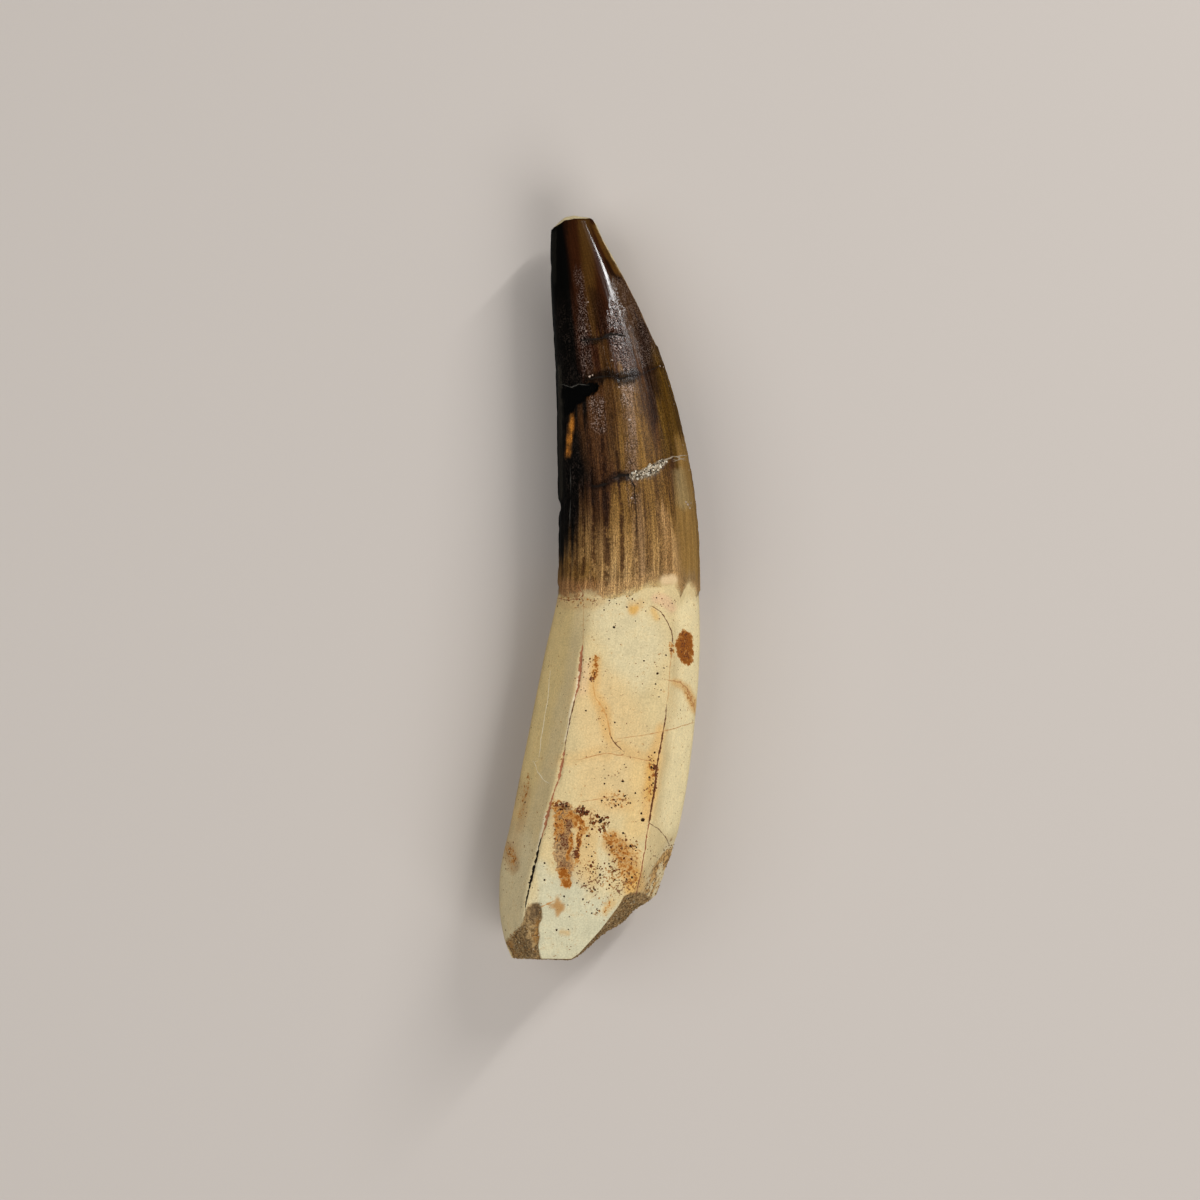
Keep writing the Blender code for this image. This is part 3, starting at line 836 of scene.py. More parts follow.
STAIN_RAGGEDNESS = 2.0


def stain_amount(stains, seed):
    """Amount of one stain at each point, ragged at its edges."""
    shift_x = STAIN_RAGGEDNESS * rough(*over_tooth(0.8, 0.8), seed)
    shift_y = STAIN_RAGGEDNESS * rough(*over_tooth(0.8, 0.8), seed + 5)
    return strongest(stains, seen_x + shift_x, seen_y + shift_y)


rust = stain_amount(RUST_STAINS, 81) * (1 - on_enamel * 0.5)
dark_stain = stain_amount(DARK_STAINS, 91)
crust = smooth_share(patch(CRUST, in_front > 0.5, 2.0), -3, 6)

# Ends of the tooth: rings that close the worn tip and the broken root.
ring_share_tip = np.linspace(1.0, 0.0, TIP_RINGS + 1)[1:-1]
ring_share_break = np.linspace(1.0, 0.0, BREAK_RINGS + 1)[1:-1]
across = middle + radius * np.cos(angle)
height = MIDDLE_HEIGHT + radius * np.sin(angle)


def close_end(row, end_surface, shares):
    """Rings of points from a rim to the middle of an end face, and that middle."""
    rim_x, rim_z = across[row], height[row]
    mid_x, mid_z = rim_x.mean(), rim_z.mean()
    mend = down[row] - end_surface(rim_x, rim_z)
    rings = []
    for share in shares:
        x = mid_x + share * (rim_x - mid_x)
        z = mid_z + share * (rim_z - mid_z)
        rings.append((x, end_surface(x, z) + mend * share**6, z))
    mid_down = end_surface(np.array([mid_x]), np.array([mid_z]))
    return np.array(rings), np.array([mid_x, mid_down[0], mid_z])


tip_rings, tip_middle = close_end(0, tip_end, ring_share_tip)
break_rings, break_middle = close_end(-1, broken_end, ring_share_break)


def stack(side, tip, tip_mid, broken, broken_mid):
    """One value for every vertex, in the mesh's order."""
    parts = [np.asarray(side).reshape(ROWS * COLUMNS, -1)]
    for rings, centre in ((tip, tip_mid), (broken, broken_mid)):
        parts.append(np.asarray(rings).reshape(-1, parts[0].shape[1]))
        parts.append(np.asarray(centre).reshape(1, -1))
    return np.concatenate(parts)


side_places = np.stack((across, down, height), -1)
places = stack(
    side_places, tip_rings.transpose(0, 2, 1), tip_middle, break_rings.transpose(0, 2, 1), break_middle
)
low, high = (np.array(corner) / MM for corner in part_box("tooth"))
vertices = np.stack((places[:, 0], LENGTH / 2 - places[:, 1], places[:, 2]), -1)
INSIDE_BOX = 0.005
vertices = np.clip(vertices, low + INSIDE_BOX, high - INSIDE_BOX)
vertices[:, 2] = np.maximum(vertices[:, 2], 0.0)


def ring_faces(first, second):
    """Four-sided faces between two rings of points."""
    a, b = np.array(first), np.array(second)
    return np.stack((a, b, np.roll(b, -1), np.roll(a, -1)), -1).tolist()


faces = []
grid = np.arange(ROWS * COLUMNS).reshape(ROWS, COLUMNS)
for row in range(ROWS - 1):
    faces += ring_faces(grid[row], grid[row + 1])
tip_start = ROWS * COLUMNS
tip_grid = tip_start + np.arange((TIP_RINGS - 1) * COLUMNS).reshape(-1, COLUMNS)
tip_centre = tip_start + tip_grid.size
break_start = tip_centre + 1
break_grid = break_start + np.arange((BREAK_RINGS - 1) * COLUMNS).reshape(-1, COLUMNS)
break_centre = break_start + break_grid.size
tip_loops = [grid[0], *tip_grid]
break_loops = [grid[-1], *break_grid]
for outer, inner in zip(tip_loops, tip_loops[1:]):
    faces += ring_faces(inner, outer)
for outer, inner in zip(break_loops, break_loops[1:]):
    faces += ring_faces(outer, inner)
for i in range(COLUMNS):
    j = (i + 1) % COLUMNS
    faces.append([int(tip_centre), int(tip_loops[-1][i]), int(tip_loops[-1][j])])
    faces.append([int(break_centre), int(break_loops[-1][j]), int(break_loops[-1][i])])


def make_mesh(name, points, polygons):
    """An object from points in millimetres."""
    mesh = bpy.data.meshes.new(name)
    mesh.from_pydata((points * MM).tolist(), [], polygons)
    mesh.validate()
    made = bpy.data.objects.new(name, mesh)
    bpy.context.scene.collection.objects.link(made)
    return made


tooth = make_mesh("tooth_surface", vertices, faces)
tooth.data.shade_smooth()
tooth.data.set_sharp_from_angle(angle=math.radians(50))

# What each point of the surface tells the material.
tip_count = len(ring_share_tip)
break_count = len(ring_share_break)


def store(made, name, kind, field, values):
    """Keeps values for each point of a mesh, for its material to read."""
    layer = made.data.attributes.new(name, kind, "POINT")
    layer.data.foreach_set(field, np.asarray(values, np.float32).ravel())


def for_points(side, tip=0.0, broken=0.0):
    """A number for each point of the tooth; the end faces' numbers may be given too."""
    tip = np.broadcast_to(tip, (tip_count, COLUMNS))
    broken = np.broadcast_to(broken, (break_count, COLUMNS))
    return stack(side, tip, tip[-1].mean(), broken, broken[-1].mean())


def tell(name, side, tip=0.0, broken=0.0):
    store(tooth, name, "FLOAT", "value", for_points(side, tip, broken))


def tell_colour(name, side, tip, broken):
    """Keeps a colour for each point of the tooth; each end face has one."""
    tip = np.broadcast_to(tip, (tip_count, COLUMNS, 3))
    broken = np.broadcast_to(broken, (break_count, COLUMNS, 3))
    values = stack(side, tip, tip[-1, 0], broken, broken[-1, 0])
    store(tooth, name, "FLOAT_COLOR", "color", np.hstack((values, np.ones((len(values), 1)))))


rim_gap_break = (1 - ring_share_break)[:, None] * np.hypot(
    across[-1] - break_middle[0], height[-1] - break_middle[2]
)
wall_in_front = 1.0 + 1.8 * smooth_share(-np.sin(angles), -0.2, 0.5)
wall_in_front += 2.2 * smooth_share(-across[-1], 3.0, 5.0) * in_front[-1]
wall = wall_in_front + 0.5 * lumps(girth[-1, :, 0] / 3, girth[-1, :, 1] / 3, 0.0, 101)
wall = np.where(sandstone[-1] > -3, 0.0, wall)
filled = smooth_share(rim_gap_break - wall, -0.15, 0.15)
side_matrix = smooth_share(sandstone, -0.8, 0.8)
corner_chip = smooth_share(chip, -1.0, 1.5)
tell("enamel_side", enamel_side, -1.0, -5.0)
tell("groove", groove * flute_strength)
tell("rust", rust, 0.0, 0.25)
tell("dark_stain", dark_stain, 0.0, 0.1)
tell("crust", crust)
CRUST_GREY = ((1.0, 7, 1, ((558, 836, 2), (560, 856, 4))),)
tell("crust_grey", strongest(CRUST_GREY, seen_x + bend, seen_y + bend))
tell("sandstone", side_matrix, 0.0, filled)
tell("corner_chip", corner_chip)
STONE_DARK = (
    (1, 6, 1, ((537, 904, 3), (533, 916, 4))),
    (0.5, 6, 1, ((524, 946, 4), (530, 956, 3))),
)
STONE_ORANGE = (
    (1, 5, 1, ((537, 922, 1), (536, 940, 2))),
    (0.8, 4, 1, ((507, 944, 1), (506, 953, 2))),
)
FRECKLES = (
    (1, 7, 1, ((592, 818, 4), (604, 828, 4))),
    (0.8, 8, 1, ((583, 864, 4), (594, 886, 6))),
    (1, 9, 1, ((613, 842, 5), (632, 856, 6), (622, 876, 14))),
    (0.7, 8, 1, ((608, 799, 4), (626, 803, 4))),
    (0.7, 6, 1, ((654, 752, 1), (650, 780, 3), (648, 802, 2))),
    (0.7, 6, 1, ((612, 896, 3), (603, 912, 3))),
    (0.6, 6, 1, ((575, 601, 3), (596, 602, 2))),
    (0.5, 8, 1, ((507, 850, 3), (512, 864, 3))),
    (0.6, 20, -1, ((610, 830, 16), (620, 870, 16))),
)
tell("stone_dark", strongest(STONE_DARK, seen_x + bend, seen_y + bend))
tell("stone_orange", strongest(STONE_ORANGE, seen_x + bend, seen_y + bend))
tell("freckled", strongest(FRECKLES, seen_x + 2 * bend, seen_y + 2 * bend))
tell("sand_band", smooth_share(sand_band, -0.8, 0.8))
tell("missing", smooth_share(missing + 1.4 * bend, -4.0, 4.0))
# Where the enamel has fine grain relief and painted glints: pale specks of colour standing in for the
# highlight on tiny grains, strongest where the key lamp's highlight falls.
GRAIN_AND_GLINT_PATCHES = (
    (1, 7, 1, ((614, 306, 0.5), (614, 320, 3), (616, 332, 4), (621, 350, 4), (627, 372, 3))),
    (1, 7, 1, ((627, 384, 3), (628, 401, 3))),
    (0.6, 7, 1, ((578, 270, 0.2), (582, 296, 1), (584, 336, 3), (587, 372, 3))),
    (0.8, 7, 1, ((597, 402, 4), (598, 426, 4))),
    (0.5, 9, 1, ((618, 284, 3), (626, 300, 6), (638, 330, 9), (650, 358, 8))),
    (0.55, 9, 1, ((631, 415, 3), (633, 500, 2))),
    (0.22, 8, 1, ((576, 455, 3), (580, 525, 5))),
    (0.15, 8, 1, ((656, 366, 4), (676, 410, 3), (690, 470, 2))),
    (0.6, 12, -1, ((600, 300, 20), (620, 400, 30), (620, 480, 30))),
)
# It stops at the dark breaks across the crown.
BREAK_BAND = (0.9, 4, 1, ((588, 380, 2), (600, 377, 3), (611, 375, 2), (622, 379, 3), (660, 367, 2)))
GRAIN_AND_GLINT_ALL_OVER = 0.16
grain_and_glints = strongest(GRAIN_AND_GLINT_PATCHES, seen_x + 2 * streaks + 2 * bend, seen_y + 6 * streaks)
grain_and_glints = np.maximum(grain_and_glints, GRAIN_AND_GLINT_ALL_OVER * smooth_share(down, 10.0, 16.0))
grain_and_glints *= 1 - stroke_share(BREAK_BAND, seen_x + bend, seen_y + 2 * bend)
PLAIN_ZONES = (
    (0.6, 12, 1, ((682, 448, 3), (690, 490, 9), (696, 560, 16))),
    (0.9, 5, 1, ((664, 582, 5), (676, 581, 4))),
)
plain_zone = strongest(PLAIN_ZONES, seen_x, seen_y)
tell("streaky", (0.45 + 0.55 * smooth_share(down, 8.0, 22.0)) * (1 - plain_zone))
tell("grain_and_glints", grain_and_glints)
dulled = 0.10 + 0.14 * smooth_share(down, 13.0, 22.0) + 0.18 * smooth_share(down, 22.0, 38.0)
tell("dulled", dulled, 0.3, 0.5)
for group, (off, half, tint) in crack_groups.items():
    tell(f"{group}_off", off, 1.0, 1.0)
    tell(f"{group}_half", half, -1.0, -1.0)
    tell_colour(f"{group}_tint", tint, RUST, RUST)
tell_colour("crown_wash", crown_wash, ENAMEL_GROUND, ENAMEL_GROUND)
tell_colour("root_wash", root_wash, PALE_CREAM, CREAM)
round_side = np.concatenate((girth, down[..., None]), -1)
end_rounds = []
for shares, rings, centre in (
    (ring_share_tip, tip_rings, tip_middle),
    (ring_share_break, break_rings, break_middle),
):
    narrowed = girth[: len(shares)] * shares[:, None, None]
    end_rounds += [np.concatenate((narrowed, rings[:, 1, :, None]), -1), (0, 0, centre[1])]
store(tooth, "round", "FLOAT_VECTOR", "vector", stack(round_side, *end_rounds))

# A map that opens the tooth out flat, with its seam behind, and its two ends beside it.
SIDE_TOP = 0.78
TIP_DISC = (0.34, 0.89, 0.07)
BREAK_DISC = (0.12, 0.89, 0.1)


def disc_place(disc, column, share):
    x, y, size = disc
    turn = 2 * math.pi * column / COLUMNS
    return x + size * share * math.cos(turn), y + size * share * math.sin(turn)


place_of = np.zeros((len(vertices), 2))
place_of[:tip_start, 0] = np.tile(np.arange(COLUMNS) / COLUMNS, ROWS)
place_of[:tip_start, 1] = np.repeat(np.arange(ROWS) / (ROWS - 1), COLUMNS) * SIDE_TOP
for disc, shares, rings, centre in (
    (TIP_DISC, ring_share_tip, tip_grid, tip_centre),
    (BREAK_DISC, ring_share_break, break_grid, break_centre),
):
    for share, ring in zip(shares, rings):
        place_of[ring] = [disc_place(disc, c, share) for c in range(COLUMNS)]
    place_of[centre] = disc[:2]
corner_vertex = np.zeros(len(tooth.data.loops), int)
tooth.data.loops.foreach_get("vertex_index", corner_vertex)
corner_place = place_of[corner_vertex]
side_corners = (ROWS - 1) * COLUMNS * 4
column_of = corner_vertex[:side_corners].reshape(-1, 4) % COLUMNS
crosses_seam = (column_of.max(1) == COLUMNS - 1) & (column_of.min(1) == 0)
wrap = crosses_seam[:, None] & (column_of == 0)
corner_place[:side_corners, 0] += wrap.ravel()
rim_disc = {}
for c in range(COLUMNS):
    for row, disc in ((0, TIP_DISC), (-1, BREAK_DISC)):
        rim_disc[int(grid[row, c])] = disc_place(disc, c, 1.0)
for corner in range(side_corners, len(corner_vertex)):
    if int(corner_vertex[corner]) in rim_disc:
        corner_place[corner] = rim_disc[int(corner_vertex[corner])]
tooth_map = tooth.data.uv_layers.new(name="OFBake")
tooth_map.data.foreach_set("uv", corner_place.astype(np.float32).ravel())


# Material of the tooth.
class Flow:
    """What comes out of a node; plain arithmetic leads it on into the next."""

    def __init__(self, wiring, socket):
        self.wiring = wiring
        self.socket = socket

    def __add__(self, other):
        return self.wiring.math("ADD", self, other)

    def __sub__(self, other):
        return self.wiring.math("SUBTRACT", self, other)

    def __mul__(self, other):
        return self.wiring.math("MULTIPLY", self, other)


class Wiring:
    """Adds nodes to one material and joins them up."""

    def __init__(self, name):
        self.material = bpy.data.materials.new(name)
        self.material.use_nodes = True
        self.tree = self.material.node_tree
        self.shader = self.tree.nodes["Principled BSDF"]
        self.told = {}

    def add(self, kind, values, output=0, **settings):
        made = self.tree.nodes.new(kind)
        for key, value in settings.items():
            setattr(made, key, value)
        for key, value in values.items():
            self.set(made.inputs[key], value)
        return Flow(self, made.outputs[output])

    def set(self, socket, value):
        if isinstance(value, Flow):
            self.tree.links.new(value.socket, socket)
        elif socket.type == "RGBA":
            socket.default_value = (*value, 1.0)
        else:
            socket.default_value = value

    def tells(self, name, output="Fac"):
        if (name, output) not in self.told:
            made = self.tree.nodes.new("ShaderNodeAttribute")
            made.attribute_name = name
            self.told[name, output] = Flow(self, made.outputs[output])
        return self.told[name, output]

    def math(self, operation, a, b=0.0):
        return self.add("ShaderNodeMath", {0: a, 1: b}, operation=operation)

    def larger(self, a, b):
        return self.math("MAXIMUM", a, b)

    def rise(self, value, low, high, to_low=0.0, to_high=1.0):
        values = {0: value, 1: low, 2: high, 3: to_low, 4: to_high}
        return self.add("ShaderNodeMapRange", values, interpolation_type="SMOOTHSTEP")

    def mix(self, share, a, b, blend="MIX"):
        values = {0: share, 6: a, 7: b}
        return self.add("ShaderNodeMix", values, output=2, data_type="RGBA", blend_type=blend)

    def tint(self, a, b):
        return self.mix(1.0, a, b, "MULTIPLY")

    def blend(self, share, a, b):
        return self.add("ShaderNodeMix", {0: share, 2: a, 3: b}, data_type="FLOAT")

    def noise(self, place, scale, detail=2.0):
        return self.add("ShaderNodeTexNoise", {"Vector": place, "Scale": scale, "Detail": detail})

    def place(self):
        return self.add("ShaderNodeTexCoord", {}, 3)

    def stretch(self, place, amounts):
        return self.add("ShaderNodeVectorMath", {0: place, 1: amounts}, operation="MULTIPLY")


def crack_share(wiring, group, grit):
    """How much a point lies in a crack of one group, its edges broken up by grit."""
    away = wiring.math("ABSOLUTE", wiring.tells(f"{group}_off"))
    half = wiring.tells(f"{group}_half") * wiring.rise(grit, 0.3, 0.7, 0.3, 1.6)
    return wiring.rise(half - away, -0.05, 0.03)


def finish_tooth():
    """Streaked enamel over stained dentine, with the cracks and stone that cross both."""
    wiring = Wiring("fossil_tooth_finish")
    tells, noise, stretch = wiring.tells, wiring.noise, wiring.stretch
    rise, mix, tint, blend, larger = wiring.rise, wiring.mix, wiring.tint, wiring.blend, wiring.larger
    around = tells("round", "Vector")
    streak = noise(stretch(around, (1.9, 1.9, 0.07)), 1.0, 3.0)
    fine_streak = noise(stretch(around, (5.5, 5.5, 0.24)), 1.0, 3.0)
    hair = noise(stretch(around, (3.9, 3.9, 0.07)), 1.0, 2.0)
    place = wiring.place()
    grain = noise(place, 4300.0, 2.0)
    grit = noise(place, 1700.0, 3.0)
    mottle = noise(place, 420.0, 3.0)
    speckle_noise = noise(stretch(place, (1.0, 0.62, 1.0)), 7000.0, 1.0)
    clump = noise(stretch(place, (1.0, 0.45, 1.0)), 1100.0, 2.0)
    clumped = tells("grain_and_glints") * rise(clump, 0.36, 0.6, 0.3, 1.0)
    ragged_grit = grit - 0.5

    # Enamel: streaked along the crown, darker in the grooves, plainer and paler towards its edge.
    nearing = tells("enamel_side") + rise(streak, 0.3, 0.7, -1.0, 1.0)
    plainer = rise(nearing, 0.0, 3.0, 0.6, 0.0)
    line = wiring.math("ABSOLUTE", hair - 0.5)
    light = mix(rise(streak, 0.3, 0.7), (0.68, 0.61, 0.52), (1.32, 1.33, 1.34))
    broken_up = rise(clump + ragged_grit, 0.3, 0.62, 0.35, 1.25)
    grooved = tells("groove") * broken_up
    for share, dark, pale in (
        (rise(fine_streak, 0.30, 0.70), (0.74, 0.70, 0.64), (1.26, 1.26, 1.26)),
        (rise(line, 0.0, 0.030), (0.42, 0.34, 0.26), (1.06, 1.06, 1.06)),
        (rise(grooved, 0.1, 0.95, 1.0, 0.0), (0.42, 0.34, 0.26), (1.08, 1.08, 1.08)),
    ):
        light = tint(light, mix(share, dark, pale))
    light = mix(tells("streaky"), (1.0, 1.0, 1.0), light)
    light = mix(plainer, light, (1.0, 1.0, 1.0))
    light = tint(light, blend(clumped, 1.0, rise(speckle_noise, 0.36, 0.56, 0.2, 1.2)))
    light = tint(light, blend(tells("streaky") * 0.85, 1.0, rise(speckle_noise, 0.34, 0.66, 0.55, 1.36)))
    enamel = tint(tells("crown_wash", "Color"), light)
    # Painted glints: pale specks of colour standing in for the highlight on tiny grains, dark brown where
    # the amount is low and pale pink where it is high.
    glint = rise(speckle_noise, 0.5, 0.66) * clumped
    glint_tint = mix(tells("grain_and_glints"), (0.09, 0.055, 0.036), (0.4, 0.315, 0.275))
    enamel = mix(glint * 0.9, enamel, glint_tint)
    missing_edge = tells("missing") + ragged_grit * 1.6 + (speckle_noise - 0.5)
    enamel = mix(rise(missing_edge, 0.4, 0.58), enamel, (0.0013, 0.0013, 0.0012))
    sand = mix(rise(grit, 0.3, 0.7), (0.03, 0.022, 0.013), (0.4, 0.32, 0.22))
    enamel = mix(tells("sand_band"), enamel, sand)
    edge = tells("enamel_side") + ragged_grit * 0.9
    worn_edge = rise(edge, 0.0, 0.25, 1.0, 0.0) * rise(mottle, 0.45, 0.62)
    enamel = mix(worn_edge * 0.45, enamel, (0.24, 0.115, 0.04))

    # Dentine: cream, faintly mottled and streaked, stained with rust and iron.
    dentine_light = rise(mottle, 0.3, 0.7, 0.95, 1.04) * rise(grain, 0.3, 0.7, 0.89, 1.09)
    dentine_light = dentine_light * rise(fine_streak, 0.3, 0.7, 0.96, 1.03)
    dentine = tint(tells("root_wash", "Color"), dentine_light)
    yellowed = rise(mottle + ragged_grit, 0.5, 0.85) * 0.18
    dentine = mix(yellowed, dentine, (0.6, 0.4, 0.165))
    crumbs = blend(0.5, grit, grain)
    crust_grey = mix(rise(crumbs, 0.4, 0.58), (0.14, 0.085, 0.04), (0.44, 0.305, 0.16))
    crust_tint = mix(rise(crumbs, 0.4, 0.6), (0.13, 0.048, 0.016), (0.48, 0.25, 0.082))
    crust_tint = mix(tells("crust_grey") * 0.4, crust_tint, crust_grey)
    freckle = rise(noise(place, 2600.0, 2.0) + tells("freckled") * 0.155, 0.69, 0.74)
    freckle_tint = mix(rise(mottle, 0.42, 0.6), (0.15, 0.055, 0.018), (0.42, 0.2, 0.055))
    dentine = mix(freckle * 0.9, dentine, freckle_tint)
    crust_edge = tells("crust") + ragged_grit * 2.2
    dentine = mix(rise(crust_edge, 0.35, 0.7) * 0.85, dentine, crust_tint)
    rust_edge = tells("rust") + ragged_grit * 2.0 + (grain - 0.5) * 1.3
    rust_tint = mix(rise(rust_edge, 0.55, 1.1), (0.54, 0.27, 0.07), (0.27, 0.08, 0.007))
    dentine = mix(rise(rust_edge, 0.45, 0.75), dentine, rust_tint)
    dark_edge = tells("dark_stain") + ragged_grit * 1.5 + (grain - 0.5) * 2.2
    dentine = mix(rise(dark_edge, 0.5, 0.7), dentine, (0.115, 0.032, 0.011))
    chip_tint = mix(rise(grit, 0.38, 0.6), (0.19, 0.105, 0.036), (0.55, 0.335, 0.125))
    chip_tint = mix(rise(mottle, 0.44, 0.54), chip_tint, (0.6, 0.49, 0.285))
    dentine = mix(tells("corner_chip"), dentine, chip_tint)
    stone_tint = mix(rise(crumbs, 0.38, 0.62), (0.12, 0.072, 0.03), (0.42, 0.275, 0.12))
    stone_tint = mix(rise(mottle, 0.52, 0.72, 0.0, 0.4), stone_tint, (0.32, 0.15, 0.032))
    stone_tint = mix(tells("stone_orange") * 0.75, stone_tint, (0.36, 0.175, 0.045))
    stone_tint = mix(tells("stone_dark") * 0.6, stone_tint, (0.07, 0.042, 0.024))
    dentine = mix(tells("sandstone"), dentine, stone_tint)

    # Enamel ends in a ragged edge on the dentine; cracks run across both.
    enamelled = rise(edge, -0.16, 0.2)
    seen_through = rise(edge, 0.0, 1.2, 0.7, 0.0) * rise(mottle, 0.35, 0.65)
    colour = mix(enamelled, dentine, mix(seen_through, enamel, dentine))
    cracked = None
    for group in ("long", "cross"):
        share = crack_share(wiring, group, grit)
        colour = mix(share, colour, tells(f"{group}_tint", "Color"))
        cracked = share if cracked is None else larger(cracked, share)
    wiring.set(wiring.shader.inputs["Base Color"], colour)

    # Gloss: enamel shines, less so low on the crown; dentine is dull, stone and cracks are dry.
    enamel_roughness = tells("dulled") + rise(streak, 0.3, 0.7, -0.03, 0.05)
    roughness = blend(enamelled, rise(mottle, 0.3, 0.7, 0.5, 0.62), enamel_roughness)
    dry = tells("sandstone")
    for bare in (tells("corner_chip"), tells("sand_band"), cracked, tells("rust") * 0.7):
        dry = larger(dry, bare)
    wiring.set(wiring.shader.inputs["Roughness"], blend(dry, roughness, 0.9))
    wiring.shader.inputs["IOR"].default_value = 1.5
    wiring.shader.inputs["Specular IOR Level"].default_value = 0.24

    # Fine relief: grains, ridges and cracks too narrow for the mesh.
    streak_relief = fine_streak * rise(tells("dulled"), 0.09, 0.26, 0.05, 0.8)
    relief = blend(enamelled, grain * 0.5, speckle_noise * (clumped * 1.6) + streak_relief)
    relief = relief + dry * (grit * 2.5) - cracked * 1.2
    bump = wiring.add("ShaderNodeBump", {"Strength": 0.8, "Distance": 0.00006, "Height": relief})
    wiring.set(wiring.shader.inputs["Normal"], bump)
    return wiring.material


tooth.data.materials.append(finish_tooth())
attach(tooth, "root")
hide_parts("tooth")

# Sand grains
# Quartz and ochre sand cemented in the broken root end, in the corner patch, along the worn
# corner and in the widest crack of the crown: small worn crystals, half sunk in what holds them.
SAND_TINTS = (
    (0.26, 0.165, 0.07), (0.19, 0.115, 0.048), (0.105, 0.062, 0.026), (0.34, 0.24, 0.125),
    (0.46, 0.38, 0.26), (0.25, 0.115, 0.03),
)
CRACK_SAND_TINTS = (
    (0.48, 0.4, 0.29), (0.26, 0.2, 0.13), (0.05, 0.038, 0.025), (0.66, 0.6, 0.48),
    (0.1, 0.075, 0.048),
)
# Where, how many, smallest and largest diameter, how likely each tint is.
SAND_PLACES = {
    "break": (2000, 0.12, 0.30, (0.40, 0.22, 0.08, 0.19, 0.04, 0.07)),
    "corner_patch": (460, 0.10, 0.26, (0.36, 0.20, 0.08, 0.18, 0.03, 0.15)),
    "chip": (120, 0.12, 0.28, (0.32, 0.26, 0.14, 0.14, 0.02, 0.12)),
    "crack": (260, 0.16, 0.44, (0.34, 0.16, 0.20, 0.22, 0.08)),
}
GRAIN_UNEVENNESS = 0.28
GRAIN_SUNK = 0.15
GRAIN_INSIDE_BOX = 0.004
ABOVE_FLOOR = 0.01
CHIP_GRAINS_BELOW = 845

polygon_count = len(tooth.data.polygons)
polygon_area = np.zeros(polygon_count)
tooth.data.polygons.foreach_get("area", polygon_area)
polygon_facing = np.zeros(polygon_count * 3)
tooth.data.polygons.foreach_get("normal", polygon_facing)
polygon_facing = polygon_facing.reshape(-1, 3)
polygon_points = [list(polygon.vertices) for polygon in tooth.data.polygons]


def over_mesh(side, tip=0.0, broken=0.0):
    """A number for each polygon of the tooth, from the numbers of its points."""
    values = for_points(side, tip, broken)[:, 0]
    return np.array([values[points].mean() for points in polygon_points])


def unit_grain():
    """Corners and faces of a twenty-sided grain of radius one."""
    golden = (1 + 5**0.5) / 2
    corners = []
    for a, b in itertools.product((-1, 1), (-golden, golden)):
        corners += [(0, a, b), (a, b, 0), (b, 0, a)]
    corners = np.array(corners, float)
    near = 2.1
    triangles = []
    for i, j, k in itertools.combinations(range(12), 3):
        sides = (corners[i] - corners[j], corners[j] - corners[k], corners[k] - corners[i])
        if all(np.linalg.norm(side) < near for side in sides):
            outward = np.cross(corners[j] - corners[i], corners[k] - corners[i])
            faces_out = outward @ corners[i] > 0
            triangles.append((i, j, k) if faces_out else (i, k, j))
    return corners / np.linalg.norm(corners[0]), triangles


def turned(chance):
    """A random turn, as three rows."""
    spin, _ = np.linalg.qr(chance.normal(size=(3, 3)))
    return spin * np.sign(np.linalg.det(spin))


grain_corners, grain_triangles = unit_grain()
grain_masks = {
    "break": over_mesh(np.zeros(seen_x.shape), 0.0, filled),
    "corner_patch": over_mesh(side_matrix),
    "chip": over_mesh(corner_chip) * (over_mesh(seen_y) > CHIP_GRAINS_BELOW),
    "crack": over_mesh(smooth_share(sand_band, -0.5, 0.5)),
}
grain_points, grain_faces, grain_tints = [], [], []
for number, (where, (count, smallest, largest, odds)) in enumerate(SAND_PLACES.items()):
    chance = np.random.default_rng(201 + number)
    weight = polygon_area * np.maximum(grain_masks[where] - 0.4, 0.0)
    chosen = chance.choice(polygon_count, count, p=weight / weight.sum())
    tints = CRACK_SAND_TINTS if where == "crack" else SAND_TINTS
    for polygon in chosen:
        corners = vertices[polygon_points[polygon]]
        shares = chance.exponential(size=len(corners))
        place = (corners * (shares / shares.sum())[:, None]).sum(0)
        size = chance.uniform(smallest**0.5, largest**0.5) ** 2
        shape = chance.uniform(0.75, 1.15, 3) * size / 2
        points = grain_corners * (1 + GRAIN_UNEVENNESS * chance.uniform(-1, 1, (12, 1)))
        points = (points * shape) @ turned(chance) + place - polygon_facing[polygon] * GRAIN_SUNK * size
        points[:, 2] = np.maximum(points[:, 2], low[2] + ABOVE_FLOOR)
        if np.any(points < low + GRAIN_INSIDE_BOX) or np.any(points > high - GRAIN_INSIDE_BOX):
            continue
        base = len(grain_points) * 12
        grain_points.append(points)
        grain_faces += [(a + base, b + base, c + base) for a, b, c in grain_triangles]
        tint = np.array(tints[chance.choice(len(tints), p=odds)]) * chance.uniform(0.75, 1.25)
        grain_tints.append(np.tile((*tint, 1.0), (12, 1)))


def joined_bits(name, points, polygons, tints):
    """One mesh of many small pieces, each point with its own tint."""
    made = make_mesh(name, np.concatenate(points), polygons)
    store(made, "tint", "FLOAT_COLOR", "color", np.concatenate(tints))
    return made


sand_grains = joined_bits("sand_grains", grain_points, grain_faces, grain_tints)


